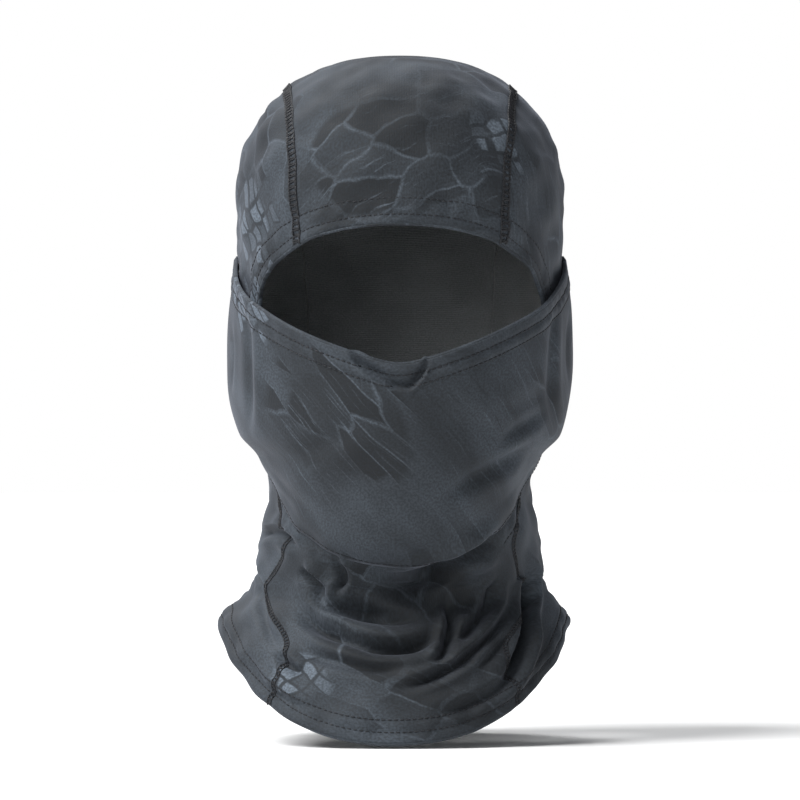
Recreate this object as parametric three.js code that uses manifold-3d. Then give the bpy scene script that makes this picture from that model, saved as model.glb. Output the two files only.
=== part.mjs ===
// A pull-down balaclava, shaped as it is worn: a hood of four knit panels, and a
// face mask sewn over it from behind the ears round under the chin.
// Millimetres. +Z is up, the face looks along -Y and the wearer's left is +X.
// The origin is the middle of the head, on the line between the ears.
import * as THREE from 'three';
import { mergeVertices } from 'three/addons/utils/BufferGeometryUtils.js';
import Module from 'manifold-3d';

// ---- Cloth and thread ----
const FABRIC = 1.0; // one layer of brushed knit
const THREAD = 0.5; // how far a row of stitches stands up
const LAP_GAP = 0.3; // between layers that lie on each other
const SEAM_GAP = 0.4; // between panels that meet edge to edge

// ---- The hood over the head: half widths, and reach to the front and back ----
const CROWN_TOP = 127;
const TEMPLE = { z: 50, side: 82, front: 98, back: 98 };
const EAR = { z: 0, side: 79, front: 100, back: 94 };
const CHEEK = { z: -58, side: 73, front: 97, back: 79 };
const JAW = { z: -88, side: 65, front: 91, back: 70 };
const THROAT = { z: -116, side: 70, front: 84, back: 66 };
const COLLAR = { z: -140, side: 72, front: 68, back: 66 };
const HEM = { side: 87, front: 97, back: 84 };
const HEM_DROP = { side: 17, front: 72, back: 50 }; // how far the hem hangs below the collar
const DOME_ROUNDNESS = 2.3; // superellipse exponent of the dome's outline
const SECTION_ROUNDNESS = 2.2; // and of every level section

// ---- How the hood is cut ----
const CROWN_STRIP = { top: 115, nape: 66 }; // width at the crown and at the back hem
const FACE = { side: 70, top: 42, bottom: 132, roundness: 2.3 }; // face opening
const NECK_PANEL = 118; // width of the front neck panel
const CHIN_Z = -126; // lowest point of the seam under the chin

// ---- The mask ----
const MASK_END = 97; // degrees from the nose to the seam behind each ear
const MASK_TOP = { nose: -29, ear: 27 }; // height of its free edge
const MASK_SEAM_END = -52; // height of the chin seam where it meets the seams behind the ears
const CHIN_CURVE = 1.65; // how late the chin seam turns up to the ears
const MASK_EASE = 1; // slack between the mask and what it lies over
const SEWN_LIFT = 1.3; // the mask over the hood along its seams
const CHEEK_BULGE = 6; // how far the loose cheeks stand off
const BULGE_LOW = 0.7; // under 1, the cheeks stand off most below the middle of the mask
const NOSE_REACH = 11; // how far the nose lifts the mask
const CHIN_LAP = 2; // the mask's edge below the neck panel's edge

// ---- Hems, and rows of stitches by their distance from the edge ----
const FACE_HEM = 15;
const FACE_ROWS = [4.5, 12.5];
const MASK_HEM = 13;
const MASK_ROWS = [5, 11];
const NECK_HEM = 15;
const NECK_ROWS = [6, 12.5];
const ROW_WIDTH = 1;
const SEAM_WIDTH = 6; // flat seams over the crown and down the neck
const MASK_SEAM = 4; // the seams round the mask
const SEAM_END_GAP = 1.5; // a seam or row stops this far short of the next one

// ---- Facets ----
const AROUND = 36;
const ROWS = { flare: 2, head: 7, dome: 5 };
const MASK_GRID = { across: 20, up: 4 };
const FACE_POINTS = 40;
const DEGREE = Math.PI / 180;

const wasm = await Module();
wasm.setup();

// ---------------------------------------------------------------- solids
function solid(geometry) {
  const bare = geometry.clone();
  bare.deleteAttribute('normal');
  bare.deleteAttribute('uv');
  const merged = mergeVertices(bare, 1e-4);
  return new wasm.Manifold(
    new wasm.Mesh({
      numProp: 3,
      vertProperties: merged.attributes.position.array,
      triVerts: new Uint32Array(merged.index.array),
    }),
  );
}

function geometryOf(body) {
  const mesh = body.getMesh();
  const geometry = new THREE.BufferGeometry();
  geometry.setAttribute('position', new THREE.BufferAttribute(mesh.vertProperties, 3));
  geometry.setIndex(new THREE.BufferAttribute(mesh.triVerts, 1));
  geometry.computeVertexNormals();
  return geometry;
}

// A solid whose outline is drawn as seen from the front, from yFront back to yBack.
function frontPrism(outline, yFront, yBack) {
  const shape = new THREE.Shape(outline.map(([x, z]) => new THREE.Vector2(x, z)));
  const geometry = new THREE.ExtrudeGeometry(shape, {
    depth: yBack - yFront,
    bevelEnabled: false,
  });
  geometry.rotateX(Math.PI / 2);
  geometry.translate(0, yBack, 0);
  return solid(geometry);
}

function block(xRange, yRange, zRange) {
  const size = [xRange, yRange, zRange].map(([low, high]) => high - low);
  const middle = [xRange, yRange, zRange].map(([low, high]) => (low + high) / 2);
  return solid(new THREE.BoxGeometry(...size).translate(...middle));
}

// Closes two grids of points, an outer and an inner one, into one solid.
// A ring wraps round in its columns; a pole closes the last row to one point.
function closedGrid(outer, inner, { ring = false, pole = false } = {}) {
  const rows = outer.length;
  const columns = outer[0].length;
  const points = [...outer.flat(), ...inner.flat()];
  const half = rows * columns;
  const faces = [];
  const quad = (a, b, c, d) => faces.push(a, b, c, a, c, d);
  const at = (side, row, column) => side * half + row * columns + (column % columns);
  const spans = ring ? columns : columns - 1;
  for (let row = 0; row < rows - 1; row++) {
    for (let column = 0; column < spans; column++) {
      const corner = (side, up, on) => at(side, row + up, column + on);
      quad(corner(0, 0, 0), corner(0, 0, 1), corner(0, 1, 1), corner(0, 1, 0));
      quad(corner(1, 0, 0), corner(1, 1, 0), corner(1, 1, 1), corner(1, 0, 1));
    }
  }
  for (let column = 0; column < spans; column++) {
    quad(at(1, 0, column), at(1, 0, column + 1), at(0, 0, column + 1), at(0, 0, column));
    if (!pole) {
      const top = rows - 1;
      quad(at(0, top, column), at(0, top, column + 1), at(1, top, column + 1), at(1, top, column));
    }
  }
  if (!ring) {
    const last = columns - 1;
    for (let row = 0; row < rows - 1; row++) {
      quad(at(0, row, 0), at(0, row + 1, 0), at(1, row + 1, 0), at(1, row, 0));
      quad(at(1, row, last), at(1, row + 1, last), at(0, row + 1, last), at(0, row, last));
    }
  }
  const geometry = new THREE.BufferGeometry();
  const flat = points.flatMap((point) => point.toArray());
  geometry.setAttribute('position', new THREE.Float32BufferAttribute(flat, 3));
  geometry.setIndex(faces);
  return solid(geometry);
}

// The solid between a small ring of points and a larger one in front of it.
function coneBetween(near, far) {
  const middleOf = (ring) =>
    ring.reduce((sum, point) => sum.add(point), new THREE.Vector3()).divideScalar(ring.length);
  const points = [...near, ...far, middleOf(near), middleOf(far)];
  const count = near.length;
  const faces = near.flatMap((_, i) => {
    const next = (i + 1) % count;
    return [
      [i, next, count + next],
      [i, count + next, count + i],
      [next, i, 2 * count],
      [count + i, count + next, 2 * count + 1],
    ].flat();
  });
  const geometry = new THREE.BufferGeometry().setFromPoints(points);
  geometry.setIndex(faces);
  return solid(geometry);
}

// ---------------------------------------------------------------- the hood's surface
const signedPower = (value, power) => Math.sign(value) * Math.abs(value) ** power;
const mix = (a, b, share) => a + (b - a) * share;
const steps = (from, to, count) =>
  Array.from({ length: count + 1 }, (_, i) => mix(from, to, i / count));

// Smooth curve of one measurement through the stations from collar to temple.
const STATIONS = [COLLAR, THROAT, JAW, CHEEK, EAR, TEMPLE];
function measureAt(z, name) {
  const last = STATIONS.length - 2;
  const found = STATIONS.findIndex((station) => station.z > z) - 1;
  const i = found < 0 ? (z < COLLAR.z ? 0 : last) : Math.min(found, last);
  const near = (k) => STATIONS[Math.min(Math.max(k, 0), STATIONS.length - 1)];
  const slope = (k) => (near(k + 1)[name] - near(k - 1)[name]) / (near(k + 1).z - near(k - 1).z);
  const [low, high] = [STATIONS[i], STATIONS[i + 1]];
  const span = high.z - low.z;
  const t = (z - low.z) / span;
  return (
    (1 + 2 * t) * (1 - t) ** 2 * low[name] +
    t * (1 - t) ** 2 * span * slope(i) +
    t * t * (3 - 2 * t) * high[name] +
    t * t * (t - 1) * span * slope(i + 1)
  );
}

// Height of the neck hem: it dips over the chest and the back, and rises over the shoulders.
const SHOULDER_ROUND = 0.3; // how softly the hem turns over the shoulder
function hemHeight(theta) {
  const soft = (value) => Math.hypot(value, SHOULDER_ROUND) - SHOULDER_ROUND;
  const dip = soft(Math.cos(theta)) / soft(1);
  const lowest = Math.cos(theta) > 0 ? HEM_DROP.front : HEM_DROP.back;
  return COLLAR.z - mix(HEM_DROP.side, lowest, dip);
}

function levelPoint(theta, z, side, front, back) {
  const power = 2 / SECTION_ROUNDNESS;
  const depth = Math.cos(theta) > 0 ? front : back;
  return new THREE.Vector3(
    side * signedPower(Math.sin(theta), power),
    -depth * signedPower(Math.cos(theta), power),
    z,
  );
}

// The hood's outer surface. theta runs from the face (0) over the left ear (90 degrees) to the
// nape (180); rise runs from the hem (0) to the collar (1), the temples (2) and the crown (3).
function skin(theta, rise) {
  if (rise < 1) {
    const flare = Math.sin((1 - rise) * 90 * DEGREE);
    const reach = (name) => mix(COLLAR[name], HEM[name], flare);
    const z = mix(hemHeight(theta), COLLAR.z, rise);
    return levelPoint(theta, z, reach('side'), reach('front'), reach('back'));
  }
  if (rise <= 2) {
    const z = mix(COLLAR.z, TEMPLE.z, rise - 1);
    const [side, front, back] = ['side', 'front', 'back'].map((name) => measureAt(z, name));
    return levelPoint(theta, z, side, front, back);
  }
  const up = Math.min(rise - 2, 1) * 90 * DEGREE;
  const share = Math.max(Math.cos(up), 0) ** (2 / DOME_ROUNDNESS);
  const z = mix(TEMPLE.z, CROWN_TOP, Math.sin(up) ** (2 / DOME_ROUNDNESS));
  return levelPoint(theta, z, TEMPLE.side * share, TEMPLE.front * share, TEMPLE.back * share);
}

const skinAtHeight = (theta, z) => skin(theta, 1 + (z - COLLAR.z) / (TEMPLE.z - COLLAR.z));

// The outward normal of a surface of two parameters.
function normalOf(surface, a, b, step = 1e-3) {
  const along = surface(a + step, b).sub(surface(a - step, b));
  const up = surface(a, b + step).sub(surface(a, b - step));
  return along.cross(up).normalize();
}

function liftedSkin(theta, rise, lift) {
  const crown = rise > 3 - 1e-6;
  const normal = crown ? new THREE.Vector3(0, 0, 1) : normalOf(skin, theta, rise);
  return skin(theta, rise).addScaledVector(normal, lift);
}

// Distances from a free edge where lines of facets run: beside each row, and at the hem's end.
const hemLines = (rows, hem) => [
  0,
  ...rows.flatMap((distance) => [distance - ROW_WIDTH / 2, distance + ROW_WIDTH / 2]),
  hem,
];
const NECK_LINES = hemLines(NECK_ROWS, NECK_HEM);

// Where the rows of facets cross one line up the hood, from the hem to the crown.
function risesAt(theta) {
  const length = skin(theta, 1).distanceTo(skin(theta, 0));
  const lines = NECK_LINES.map((distance) => distance / length);
  return [
    ...lines,
    ...steps(NECK_HEM / length, 1, ROWS.flare).slice(1),
    ...steps(1, 2, ROWS.head).slice(1),
    ...steps(2, 3, ROWS.dome).slice(1),
  ];
}
const AROUND_ANGLES = steps(0, 2 * Math.PI, AROUND).slice(0, -1);
const TOP_ROW = risesAt(0).length - 1;

// A layer of cloth or thread round the hood, between two heights above its outer surface and
// two rows of facets. A layer that reaches the crown closes over it.
function hoodLayer(low, high, firstRow = 0, lastRow = TOP_ROW) {
  const rows = Array.from({ length: lastRow - firstRow + 1 }, (_, i) => firstRow + i);
  const face = (lift) =>
    rows.map((row) => AROUND_ANGLES.map((theta) => liftedSkin(theta, risesAt(theta)[row], lift)));
  return closedGrid(face(high), face(low), { ring: true, pole: lastRow === TOP_ROW });
}

// The space beside the neck hem, up to a distance from its edge.
const CUT_REACH = 6; // how far a cutter stands out on both sides of the cloth
function neckEdge(distance) {
  const face = (lift) =>
    [-CUT_REACH, distance].map((up) =>
      AROUND_ANGLES.map((theta) => {
        const length = skin(theta, 1).distanceTo(skin(theta, 0));
        return liftedSkin(theta, up / length, lift);
      }),
    );
  return closedGrid(face(CUT_REACH), face(-CUT_REACH), { ring: true });
}

// ---------------------------------------------------------------- cutting outlines
const FRONT = -1.5 * HEM.front; // a plane in front of everything
const BACK = 1.5 * TEMPLE.back;
const CLEAR = 30; // how far the cutters reach past the object
const ABOVE = CROWN_TOP + CLEAR;
const BELOW = COLLAR.z - HEM_DROP.front - CLEAR;
const WIDE = 1.5 * HEM.side;

// Half width of the crown strip at a height, a straight taper from the crown to the nape.
const NAPE_Z = COLLAR.z - HEM_DROP.back;
const stripHalf = (z) =>
  mix(CROWN_STRIP.nape, CROWN_STRIP.top, (z - NAPE_Z) / (CROWN_TOP - NAPE_Z)) / 2;

// The crown strip's cut, or with a half width of its seam, without the face and the front neck.
function stripCut(grow) {
  const edge = (z) => stripHalf(z) + grow;
  const outline = [
    [-edge(BELOW), BELOW],
    [edge(BELOW), BELOW],
    [edge(ABOVE), ABOVE],
    [-edge(ABOVE), ABOVE],
  ];
  const frontBelowBrow = block([-WIDE, WIDE], [FRONT, 0], [BELOW, EAR.z]);
  return frontPrism(outline, FRONT, BACK).subtract(frontBelowBrow);
}

// The face opening's edge on the cloth, counter-clockwise as the face is seen.
function faceEdge(turn) {
  const power = 2 / FACE.roundness;
  const z = (Math.sin(turn) > 0 ? FACE.top : FACE.bottom) * signedPower(Math.sin(turn), power);
  const x = FACE.side * signedPower(Math.cos(turn), power);
  const theta = Math.asin(signedPower(x / measureAt(z, 'side'), SECTION_ROUNDNESS / 2));
  return skinAtHeight(theta, z);
}

// The face opening grown by a distance along the cloth, as a cone from the middle of the head.
const TURN_STEP = 0.02; // radians, for the direction of the opening's edge
const CONE = { near: 0.1, far: 3 }; // the cone's ends, as shares of the way to the cloth
function faceCut(grow) {
  const middle = new THREE.Vector3(0, 0, (FACE.top - FACE.bottom) / 2);
  const outline = steps(0, 2 * Math.PI, FACE_POINTS)
    .slice(0, -1)
    .map((turn) => {
      const edge = faceEdge(turn);
      const along = faceEdge(turn + TURN_STEP).sub(faceEdge(turn - TURN_STEP));
      const outward = edge.clone().sub(middle);
      return edge.addScaledVector(along.cross(outward).normalize(), grow);
    });
  const ring = (reach) => outline.map((point) => middle.clone().lerp(point, reach));
  return coneBetween(ring(CONE.near), ring(CONE.far));
}

// Height of the mask's lower seam: under the chin in front, up to the ears at the sides.
const seamHeight = (theta) =>
  mix(CHIN_Z, MASK_SEAM_END, Math.abs(theta / (MASK_END * DEGREE)) ** CHIN_CURVE);

// Everything below the chin seam in front, lowered by drop.
const SEAM_REACH = 80 * DEGREE; // how far round the seam is followed on each side
const SEAM_STEPS = 32;
function belowChin(drop) {
  const seam = steps(-SEAM_REACH, SEAM_REACH, SEAM_STEPS).map((theta) => {
    const point = skinAtHeight(theta, seamHeight(theta));
    return [point.x, point.z - drop];
  });
  const [first, last] = [seam[0], seam[seam.length - 1]];
  const outline = [[-WIDE, BELOW], [WIDE, BELOW], [WIDE, last[1]], ...seam.reverse(), [-WIDE, first[1]]];
  return frontPrism(outline, FRONT, 0);
}

function neckPanelCut(grow) {
  const half = NECK_PANEL / 2 + grow;
  return belowChin(-grow).intersect(block([-half, half], [FRONT, 0], [BELOW, ABOVE]));
}

const leftHalf = block([0, WIDE], [FRONT, BACK], [BELOW, ABOVE]);
const rightHalf = block([-WIDE, 0], [FRONT, BACK], [BELOW, ABOVE]);

// ---------------------------------------------------------------- the hood's pieces
const knit = hoodLayer(-FABRIC, 0);
const faceHole = faceCut(0).subtract(belowChin(0));

const crownPanel = knit.intersect(stripCut(-SEAM_GAP / 2)).subtract(faceHole);
const neckFrontPanel = knit.intersect(neckPanelCut(-SEAM_GAP / 2));
const sidePanels = knit
  .subtract(stripCut(SEAM_GAP / 2))
  .subtract(faceHole)
  .subtract(neckPanelCut(SEAM_GAP / 2));

const turnedIn = [-2 * FABRIC - LAP_GAP, -FABRIC - LAP_GAP];
const faceHem = hoodLayer(...turnedIn)
  .intersect(faceCut(FACE_HEM))
  .subtract(faceCut(0))
  .subtract(belowChin(-SEAM_END_GAP));
const neckHem = hoodLayer(...turnedIn, 0, NECK_LINES.length - 1);

const onTop = [LAP_GAP, LAP_GAP + THREAD];
const threads = hoodLayer(...onTop);
const faceRows = FACE_ROWS.map((distance) =>
  threads
    .intersect(faceCut(distance + ROW_WIDTH / 2))
    .subtract(faceCut(distance - ROW_WIDTH / 2))
    .subtract(belowChin(-2 * MASK_SEAM)),
);
const neckRows = NECK_ROWS.map((_, i) => hoodLayer(...onTop, 2 * i + 1, 2 * i + 2));

// The flat seams stop short of the last row of stitches at each end.
const lastRowEnd = (rows) => rows[rows.length - 1] + ROW_WIDTH / 2 + SEAM_END_GAP;
const neckEnd = neckEdge(lastRowEnd(NECK_ROWS));
const crownSeams = threads
  .intersect(stripCut(SEAM_WIDTH / 2).subtract(stripCut(-SEAM_WIDTH / 2)))
  .subtract(neckEnd)
  .subtract(faceCut(lastRowEnd(FACE_ROWS)));
function neckSeam(side) {
  const [middle, half] = [(side * NECK_PANEL) / 2, SEAM_WIDTH / 2];
  return threads
    .intersect(block([middle - half, middle + half], [FRONT, 0], [BELOW, ABOVE]))
    .intersect(belowChin(CHIN_LAP + 2 * MASK_SEAM))
    .subtract(neckEnd);
}

// ---------------------------------------------------------------- the mask's pieces
// Places across the mask are shares of its half width: -1 at the right ear's seam, 1 at the left.
const acrossOf = (width) => width / (MASK_END * DEGREE * EAR.side);
const EAR_SEAM_START = 1 - acrossOf(MASK_SEAM);
const ROW_END = EAR_SEAM_START - acrossOf(SEAM_END_GAP);
const MASK_COLUMNS = [
  -1,
  -EAR_SEAM_START,
  ...steps(-ROW_END, ROW_END, MASK_GRID.across),
  EAR_SEAM_START,
  1,
];

const NOSE_BLUNT = 0.04; // how softly the free edge turns at the nose
const maskTop = (across) => mix(MASK_TOP.nose, MASK_TOP.ear, Math.hypot(across, NOSE_BLUNT));
const maskBottom = (across) => seamHeight(across * MASK_END * DEGREE) - CHIN_LAP;

// Where the rows of facets cross one line up the mask, from its seam to its free edge.
function maskRowsAt(across) {
  const height = maskTop(across) - maskBottom(across);
  const lines = hemLines(MASK_ROWS, MASK_HEM).map((distance) => 1 - distance / height);
  const seamTop = MASK_SEAM / height;
  return [0, ...steps(seamTop, lines[lines.length - 1], MASK_GRID.up), ...lines.reverse().slice(1)];
}

// The mask's inner surface. It lies close to the hood along its seams, clear of the rows of
// stitches and of its own turned hem elsewhere, stands off at the cheeks and tents over the nose.
const MASK_STANDOFF = MASK_EASE + THREAD + FABRIC + 3 * LAP_GAP;
function maskSkin(across, up) {
  const theta = across * MASK_END * DEGREE;
  const z = mix(maskBottom(across), maskTop(across), up);
  const fromEar = Math.min((1 - Math.abs(across)) / (1 - ROW_END), 1);
  const fromSeam = Math.min(up / maskRowsAt(across)[1], 1);
  const standoff = mix(SEWN_LIFT, MASK_STANDOFF, Math.max(Math.min(fromEar, fromSeam), 0));
  const towardsNose = Math.max(Math.cos(theta), 0) ** 2;
  const slack = Math.sin(Math.min(Math.max(up, 0), 1) ** BULGE_LOW * Math.PI);
  const bulge = CHEEK_BULGE * slack * (1 - towardsNose) * fromEar;
  const nose = NOSE_REACH * (1 - (1 - up) ** 2) * towardsNose;
  const outward = new THREE.Vector3(Math.sin(theta), -Math.cos(theta), 0);
  return skinAtHeight(theta, z).addScaledVector(outward, standoff + bulge + nose);
}

// A layer over the part of the mask between two columns and two rows of facets.
const LAST_COLUMN = MASK_COLUMNS.length - 1;
const LAST_ROW = maskRowsAt(0).length - 1;
function maskLayer(low, high, columns = [0, LAST_COLUMN], rows = [0, LAST_ROW]) {
  const places = MASK_COLUMNS.slice(columns[0], columns[1] + 1);
  const rowNumbers = Array.from({ length: rows[1] - rows[0] + 1 }, (_, i) => rows[0] + i);
  const liftedMask = (across, row, lift) => {
    const up = maskRowsAt(across)[row];
    return maskSkin(across, up).addScaledVector(normalOf(maskSkin, across, up), lift);
  };
  const face = (lift) =>
    rowNumbers.map((row) => places.map((across) => liftedMask(across, row, lift)));
  return closedGrid(face(high), face(low));
}

const maskPanel = maskLayer(0, FABRIC);
const betweenEars = [2, LAST_COLUMN - 2];
const maskHem = maskLayer(-LAP_GAP - FABRIC, -LAP_GAP, betweenEars, [
  LAST_ROW - 2 * MASK_ROWS.length - 1,
  LAST_ROW,
]);
const onMask = [FABRIC + LAP_GAP, FABRIC + LAP_GAP + THREAD];
const maskRows = MASK_ROWS.map((_, i) =>
  maskLayer(...onMask, betweenEars, [LAST_ROW - 2 * i - 2, LAST_ROW - 2 * i - 1]),
);
const chinSeam = maskLayer(...onMask, betweenEars, [0, 1]);
const leftEarSeam = maskLayer(...onMask, [LAST_COLUMN - 1, LAST_COLUMN]);
const rightEarSeam = maskLayer(...onMask, [0, 1]);

// ---------------------------------------------------------------- materials and nodes
const printedKnit = new THREE.MeshStandardMaterial({ color: 0x3f434b, roughness: 0.85, metalness: 0 });
const brushedInside = new THREE.MeshStandardMaterial({ color: 0x2c2f33, roughness: 0.95, metalness: 0 });
const blackThread = new THREE.MeshStandardMaterial({ color: 0x15171c, roughness: 0.6, metalness: 0 });

const balaclava = new THREE.Group();
function add(name, body, material) {
  const mesh = new THREE.Mesh(geometryOf(body), material);
  mesh.name = name;
  balaclava.add(mesh);
}

add('crown_panel', crownPanel, printedKnit);
add('left_side_panel', sidePanels.intersect(leftHalf), printedKnit);
add('right_side_panel', sidePanels.intersect(rightHalf), printedKnit);
add('neck_front_panel', neckFrontPanel, printedKnit);
add('mask_panel', maskPanel, printedKnit);
add('face_opening_hem', faceHem, brushedInside);
add('mask_top_hem', maskHem, brushedInside);
add('neck_hem', neckHem, brushedInside);
add('left_crown_seam', crownSeams.intersect(leftHalf), blackThread);
add('right_crown_seam', crownSeams.intersect(rightHalf), blackThread);
add('left_neck_seam', neckSeam(1), blackThread);
add('right_neck_seam', neckSeam(-1), blackThread);
add('chin_seam', chinSeam, blackThread);
add('left_ear_seam', leftEarSeam, blackThread);
add('right_ear_seam', rightEarSeam, blackThread);
['outer', 'inner'].forEach((row, i) => {
  add(`face_hem_${row}_stitching`, faceRows[i], blackThread);
  add(`mask_hem_${row}_stitching`, maskRows[i], blackThread);
  add(`neck_hem_${row}_stitching`, neckRows[i], blackThread);
});

export default balaclava;
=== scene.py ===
# %% [markdown]
# A balaclava is a tube of stretch knit with a dome on top. It has no shape of its own: it takes
# the shape of the head inside it. So the lesson starts from the worn shape, and everything that
# follows, the cut panels, the hems and every stitch, is laid on that one surface.

import contextlib
import math

import bmesh
import bpy
import numpy as np
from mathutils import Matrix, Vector, kdtree


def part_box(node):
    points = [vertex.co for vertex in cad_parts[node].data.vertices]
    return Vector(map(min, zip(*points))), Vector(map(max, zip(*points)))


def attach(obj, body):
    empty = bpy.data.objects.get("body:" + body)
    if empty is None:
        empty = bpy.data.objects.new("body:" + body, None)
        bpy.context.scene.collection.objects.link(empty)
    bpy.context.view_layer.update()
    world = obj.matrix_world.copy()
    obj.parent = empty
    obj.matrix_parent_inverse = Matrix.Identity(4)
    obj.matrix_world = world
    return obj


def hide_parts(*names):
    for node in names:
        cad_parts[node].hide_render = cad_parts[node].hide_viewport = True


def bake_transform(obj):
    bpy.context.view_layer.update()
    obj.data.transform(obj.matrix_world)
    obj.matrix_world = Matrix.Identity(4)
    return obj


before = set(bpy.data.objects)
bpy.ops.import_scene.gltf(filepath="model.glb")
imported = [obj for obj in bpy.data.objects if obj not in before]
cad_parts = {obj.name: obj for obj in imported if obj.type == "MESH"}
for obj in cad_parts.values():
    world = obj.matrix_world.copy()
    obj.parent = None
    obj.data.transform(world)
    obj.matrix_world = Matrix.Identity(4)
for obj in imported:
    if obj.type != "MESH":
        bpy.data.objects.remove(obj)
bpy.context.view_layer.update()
print("frame:", sorted(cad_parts))

# %% [markdown]
# The head inside is described by a few level sections. Each one says how far the cloth stands
# from the line between the ears: half its width, its reach to the front and to the back. A smooth
# curve runs through them. All lengths are in millimetres until a mesh is made.

# %% Driving sizes
MM = 0.001
SECTIONS = np.array(
    [
        # height, half width, front, back
        (-140, 72, 68, 66),  # collar
        (-116, 70, 84, 66),  # throat
        (-88, 65, 91, 70),  # jaw
        (-58, 73, 97, 79),  # cheek
        (0, 79, 100, 94),  # ear
        (50, 82, 98, 98),  # temple
    ],
    float,
)
COLLAR, TEMPLE = SECTIONS[0], SECTIONS[-1]
HEM_REACH = np.array((0, 87, 97, 84), float)
HEM_DROP = {"side": 17, "front": 72, "back": 50}
SHOULDER_ROUND = 0.3
CROWN_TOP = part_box("crown_panel")[1][2] / MM
SECTION_ROUNDNESS = 2.2
DOME_ROUNDNESS = 2.3
FABRIC = 1.0
HEAD_HEIGHT = TEMPLE[0] - COLLAR[0]
print("crown top:", round(CROWN_TOP, 1), "mm above the ears")


# %% [markdown]
# A place on the hood is given by two numbers: theta, the angle round the head from the nose, and
# rise, which counts 0 at the hem, 1 at the collar, 2 at the temples and 3 on top of the crown.
# numpy works out thousands of places at once, which keeps a dense mesh quick to build.


# %% The worn surface
def paired(a, b):
    """Two parameters as arrays of one shape."""
    return np.broadcast_arrays(np.asarray(a, float), np.asarray(b, float))


def unit(vectors):
    return vectors / np.linalg.norm(vectors, axis=-1, keepdims=True)


def section_size(height, column):
    heights, sizes = SECTIONS[:, 0], SECTIONS[:, column]
    count = len(heights)
    above = np.minimum(np.arange(count) + 1, count - 1)
    below = np.maximum(np.arange(count) - 1, 0)
    slope = (sizes[above] - sizes[below]) / (heights[above] - heights[below])
    i = np.clip(np.searchsorted(heights, height) - 1, 0, count - 2)
    span = heights[i + 1] - heights[i]
    t = (height - heights[i]) / span
    return (
        (1 + 2 * t) * (1 - t) ** 2 * sizes[i]
        + t * (1 - t) ** 2 * span * slope[i]
        + t * t * (3 - 2 * t) * sizes[i + 1]
        + t * t * (t - 1) * span * slope[i + 1]
    )


def hem_height(theta):
    """The hem dips over the chest and the back, and rises over the shoulders."""
    dip = np.hypot(np.cos(theta), SHOULDER_ROUND) - SHOULDER_ROUND
    dip = dip / (np.hypot(1, SHOULDER_ROUND) - SHOULDER_ROUND)
    lowest = np.where(np.cos(theta) > 0, HEM_DROP["front"], HEM_DROP["back"])
    return COLLAR[0] - HEM_DROP["side"] - (lowest - HEM_DROP["side"]) * dip


def signed_power(value, power):
    return np.sign(value) * np.abs(value) ** power


def soft_step(value, low, high):
    t = np.clip((value - low) / (high - low), 0, 1)
    return t * t * (3 - 2 * t)


def skin(theta, rise):
    """Points on the smooth outer surface, an array of x, y and z in millimetres."""
    theta, rise = paired(theta, rise)
    flare = np.sin(np.clip(1 - rise, 0, 1) * np.pi / 2)
    middle_z = COLLAR[0] + HEAD_HEIGHT * (rise - 1)
    inside = np.clip(middle_z, COLLAR[0], TEMPLE[0])
    climb = np.clip(rise - 2, 0, 1) * np.pi / 2
    share = np.clip(np.cos(climb), 0, 1) ** (2 / DOME_ROUNDNESS)
    top_z = TEMPLE[0] + (CROWN_TOP - TEMPLE[0]) * np.sin(climb) ** (2 / DOME_ROUNDNESS)
    low_z = hem_height(theta) + (COLLAR[0] - hem_height(theta)) * rise

    def reach(column):
        low = COLLAR[column] + (HEM_REACH[column] - COLLAR[column]) * flare
        head = np.where(rise <= 2, section_size(inside, column), TEMPLE[column] * share)
        return np.where(rise < 1, low, head)

    power = 2 / SECTION_ROUNDNESS
    depth = np.where(np.cos(theta) > 0, reach(2), reach(3))
    x = reach(1) * signed_power(np.sin(theta), power)
    y = -depth * signed_power(np.cos(theta), power)
    z = np.where(rise < 1, low_z, np.where(rise <= 2, middle_z, top_z))
    return np.stack([x, y, z], axis=-1)


def normals_of(surface, a, b, step=2e-3):
    """Outward unit normals of any surface of two parameters."""
    across = surface(a + step, b) - surface(a - step, b)
    up = surface(a, b + step) - surface(a, b - step)
    normal = np.cross(across, up)
    length = np.linalg.norm(normal, axis=-1, keepdims=True)
    return normal / np.maximum(length, 1e-9)


EVEN_OVER = (-0.1, -0.035, 0.035, 0.1)  # rises either side that a direction is averaged over
TOP_FROM, TOP_OVER = 2.93, 0.055  # where it turns to straight up


def skin_normals(theta, rise):
    """Directions away from the skin, evened out where the collar bends.

    On the very top, where the meridians meet, it is straight up.
    """
    normal = sum(normals_of(skin, theta, np.clip(rise + shift, 2e-3, 2.985)) for shift in EVEN_OVER)
    top = np.clip((rise - TOP_FROM) / TOP_OVER, 0, 1)[..., None]
    return unit(normal * (1 - top) + np.array((0.0, 0.0, 1.0)) * top)


print("nose line at the ears' height:", skin(0.0, 1 - COLLAR[0] / HEAD_HEIGHT).round(1))

# %% [markdown]
# Loose knit folds where there is more of it than the neck needs. Each fold is drawn as a short
# line on the cloth, as seen from the front or from a side, with a depth and a width. Across the
# line the cloth dips, and the slack that came out of the dip stands up as a soft lip on each
# side. This is what a sculptor does with a crease brush, but it can be repeated exactly.


# %% Places on the flat cloth
GIRTH_RADIUS = 78.0
FLARE_REACH, DOME_ARC = 22, 130.0


def unrolled(theta, rise):
    """Millimetres round the hood and up it, so that distances between places on it make sense."""
    low = COLLAR[0] - hem_height(theta)
    height = np.where(
        rise < 1,
        -(1 - rise) * np.hypot(low, FLARE_REACH),
        np.where(rise <= 2, (rise - 1) * HEAD_HEIGHT, HEAD_HEIGHT + (rise - 2) * DOME_ARC),
    )
    return np.stack([theta * GIRTH_RADIUS, height], axis=-1)


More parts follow.
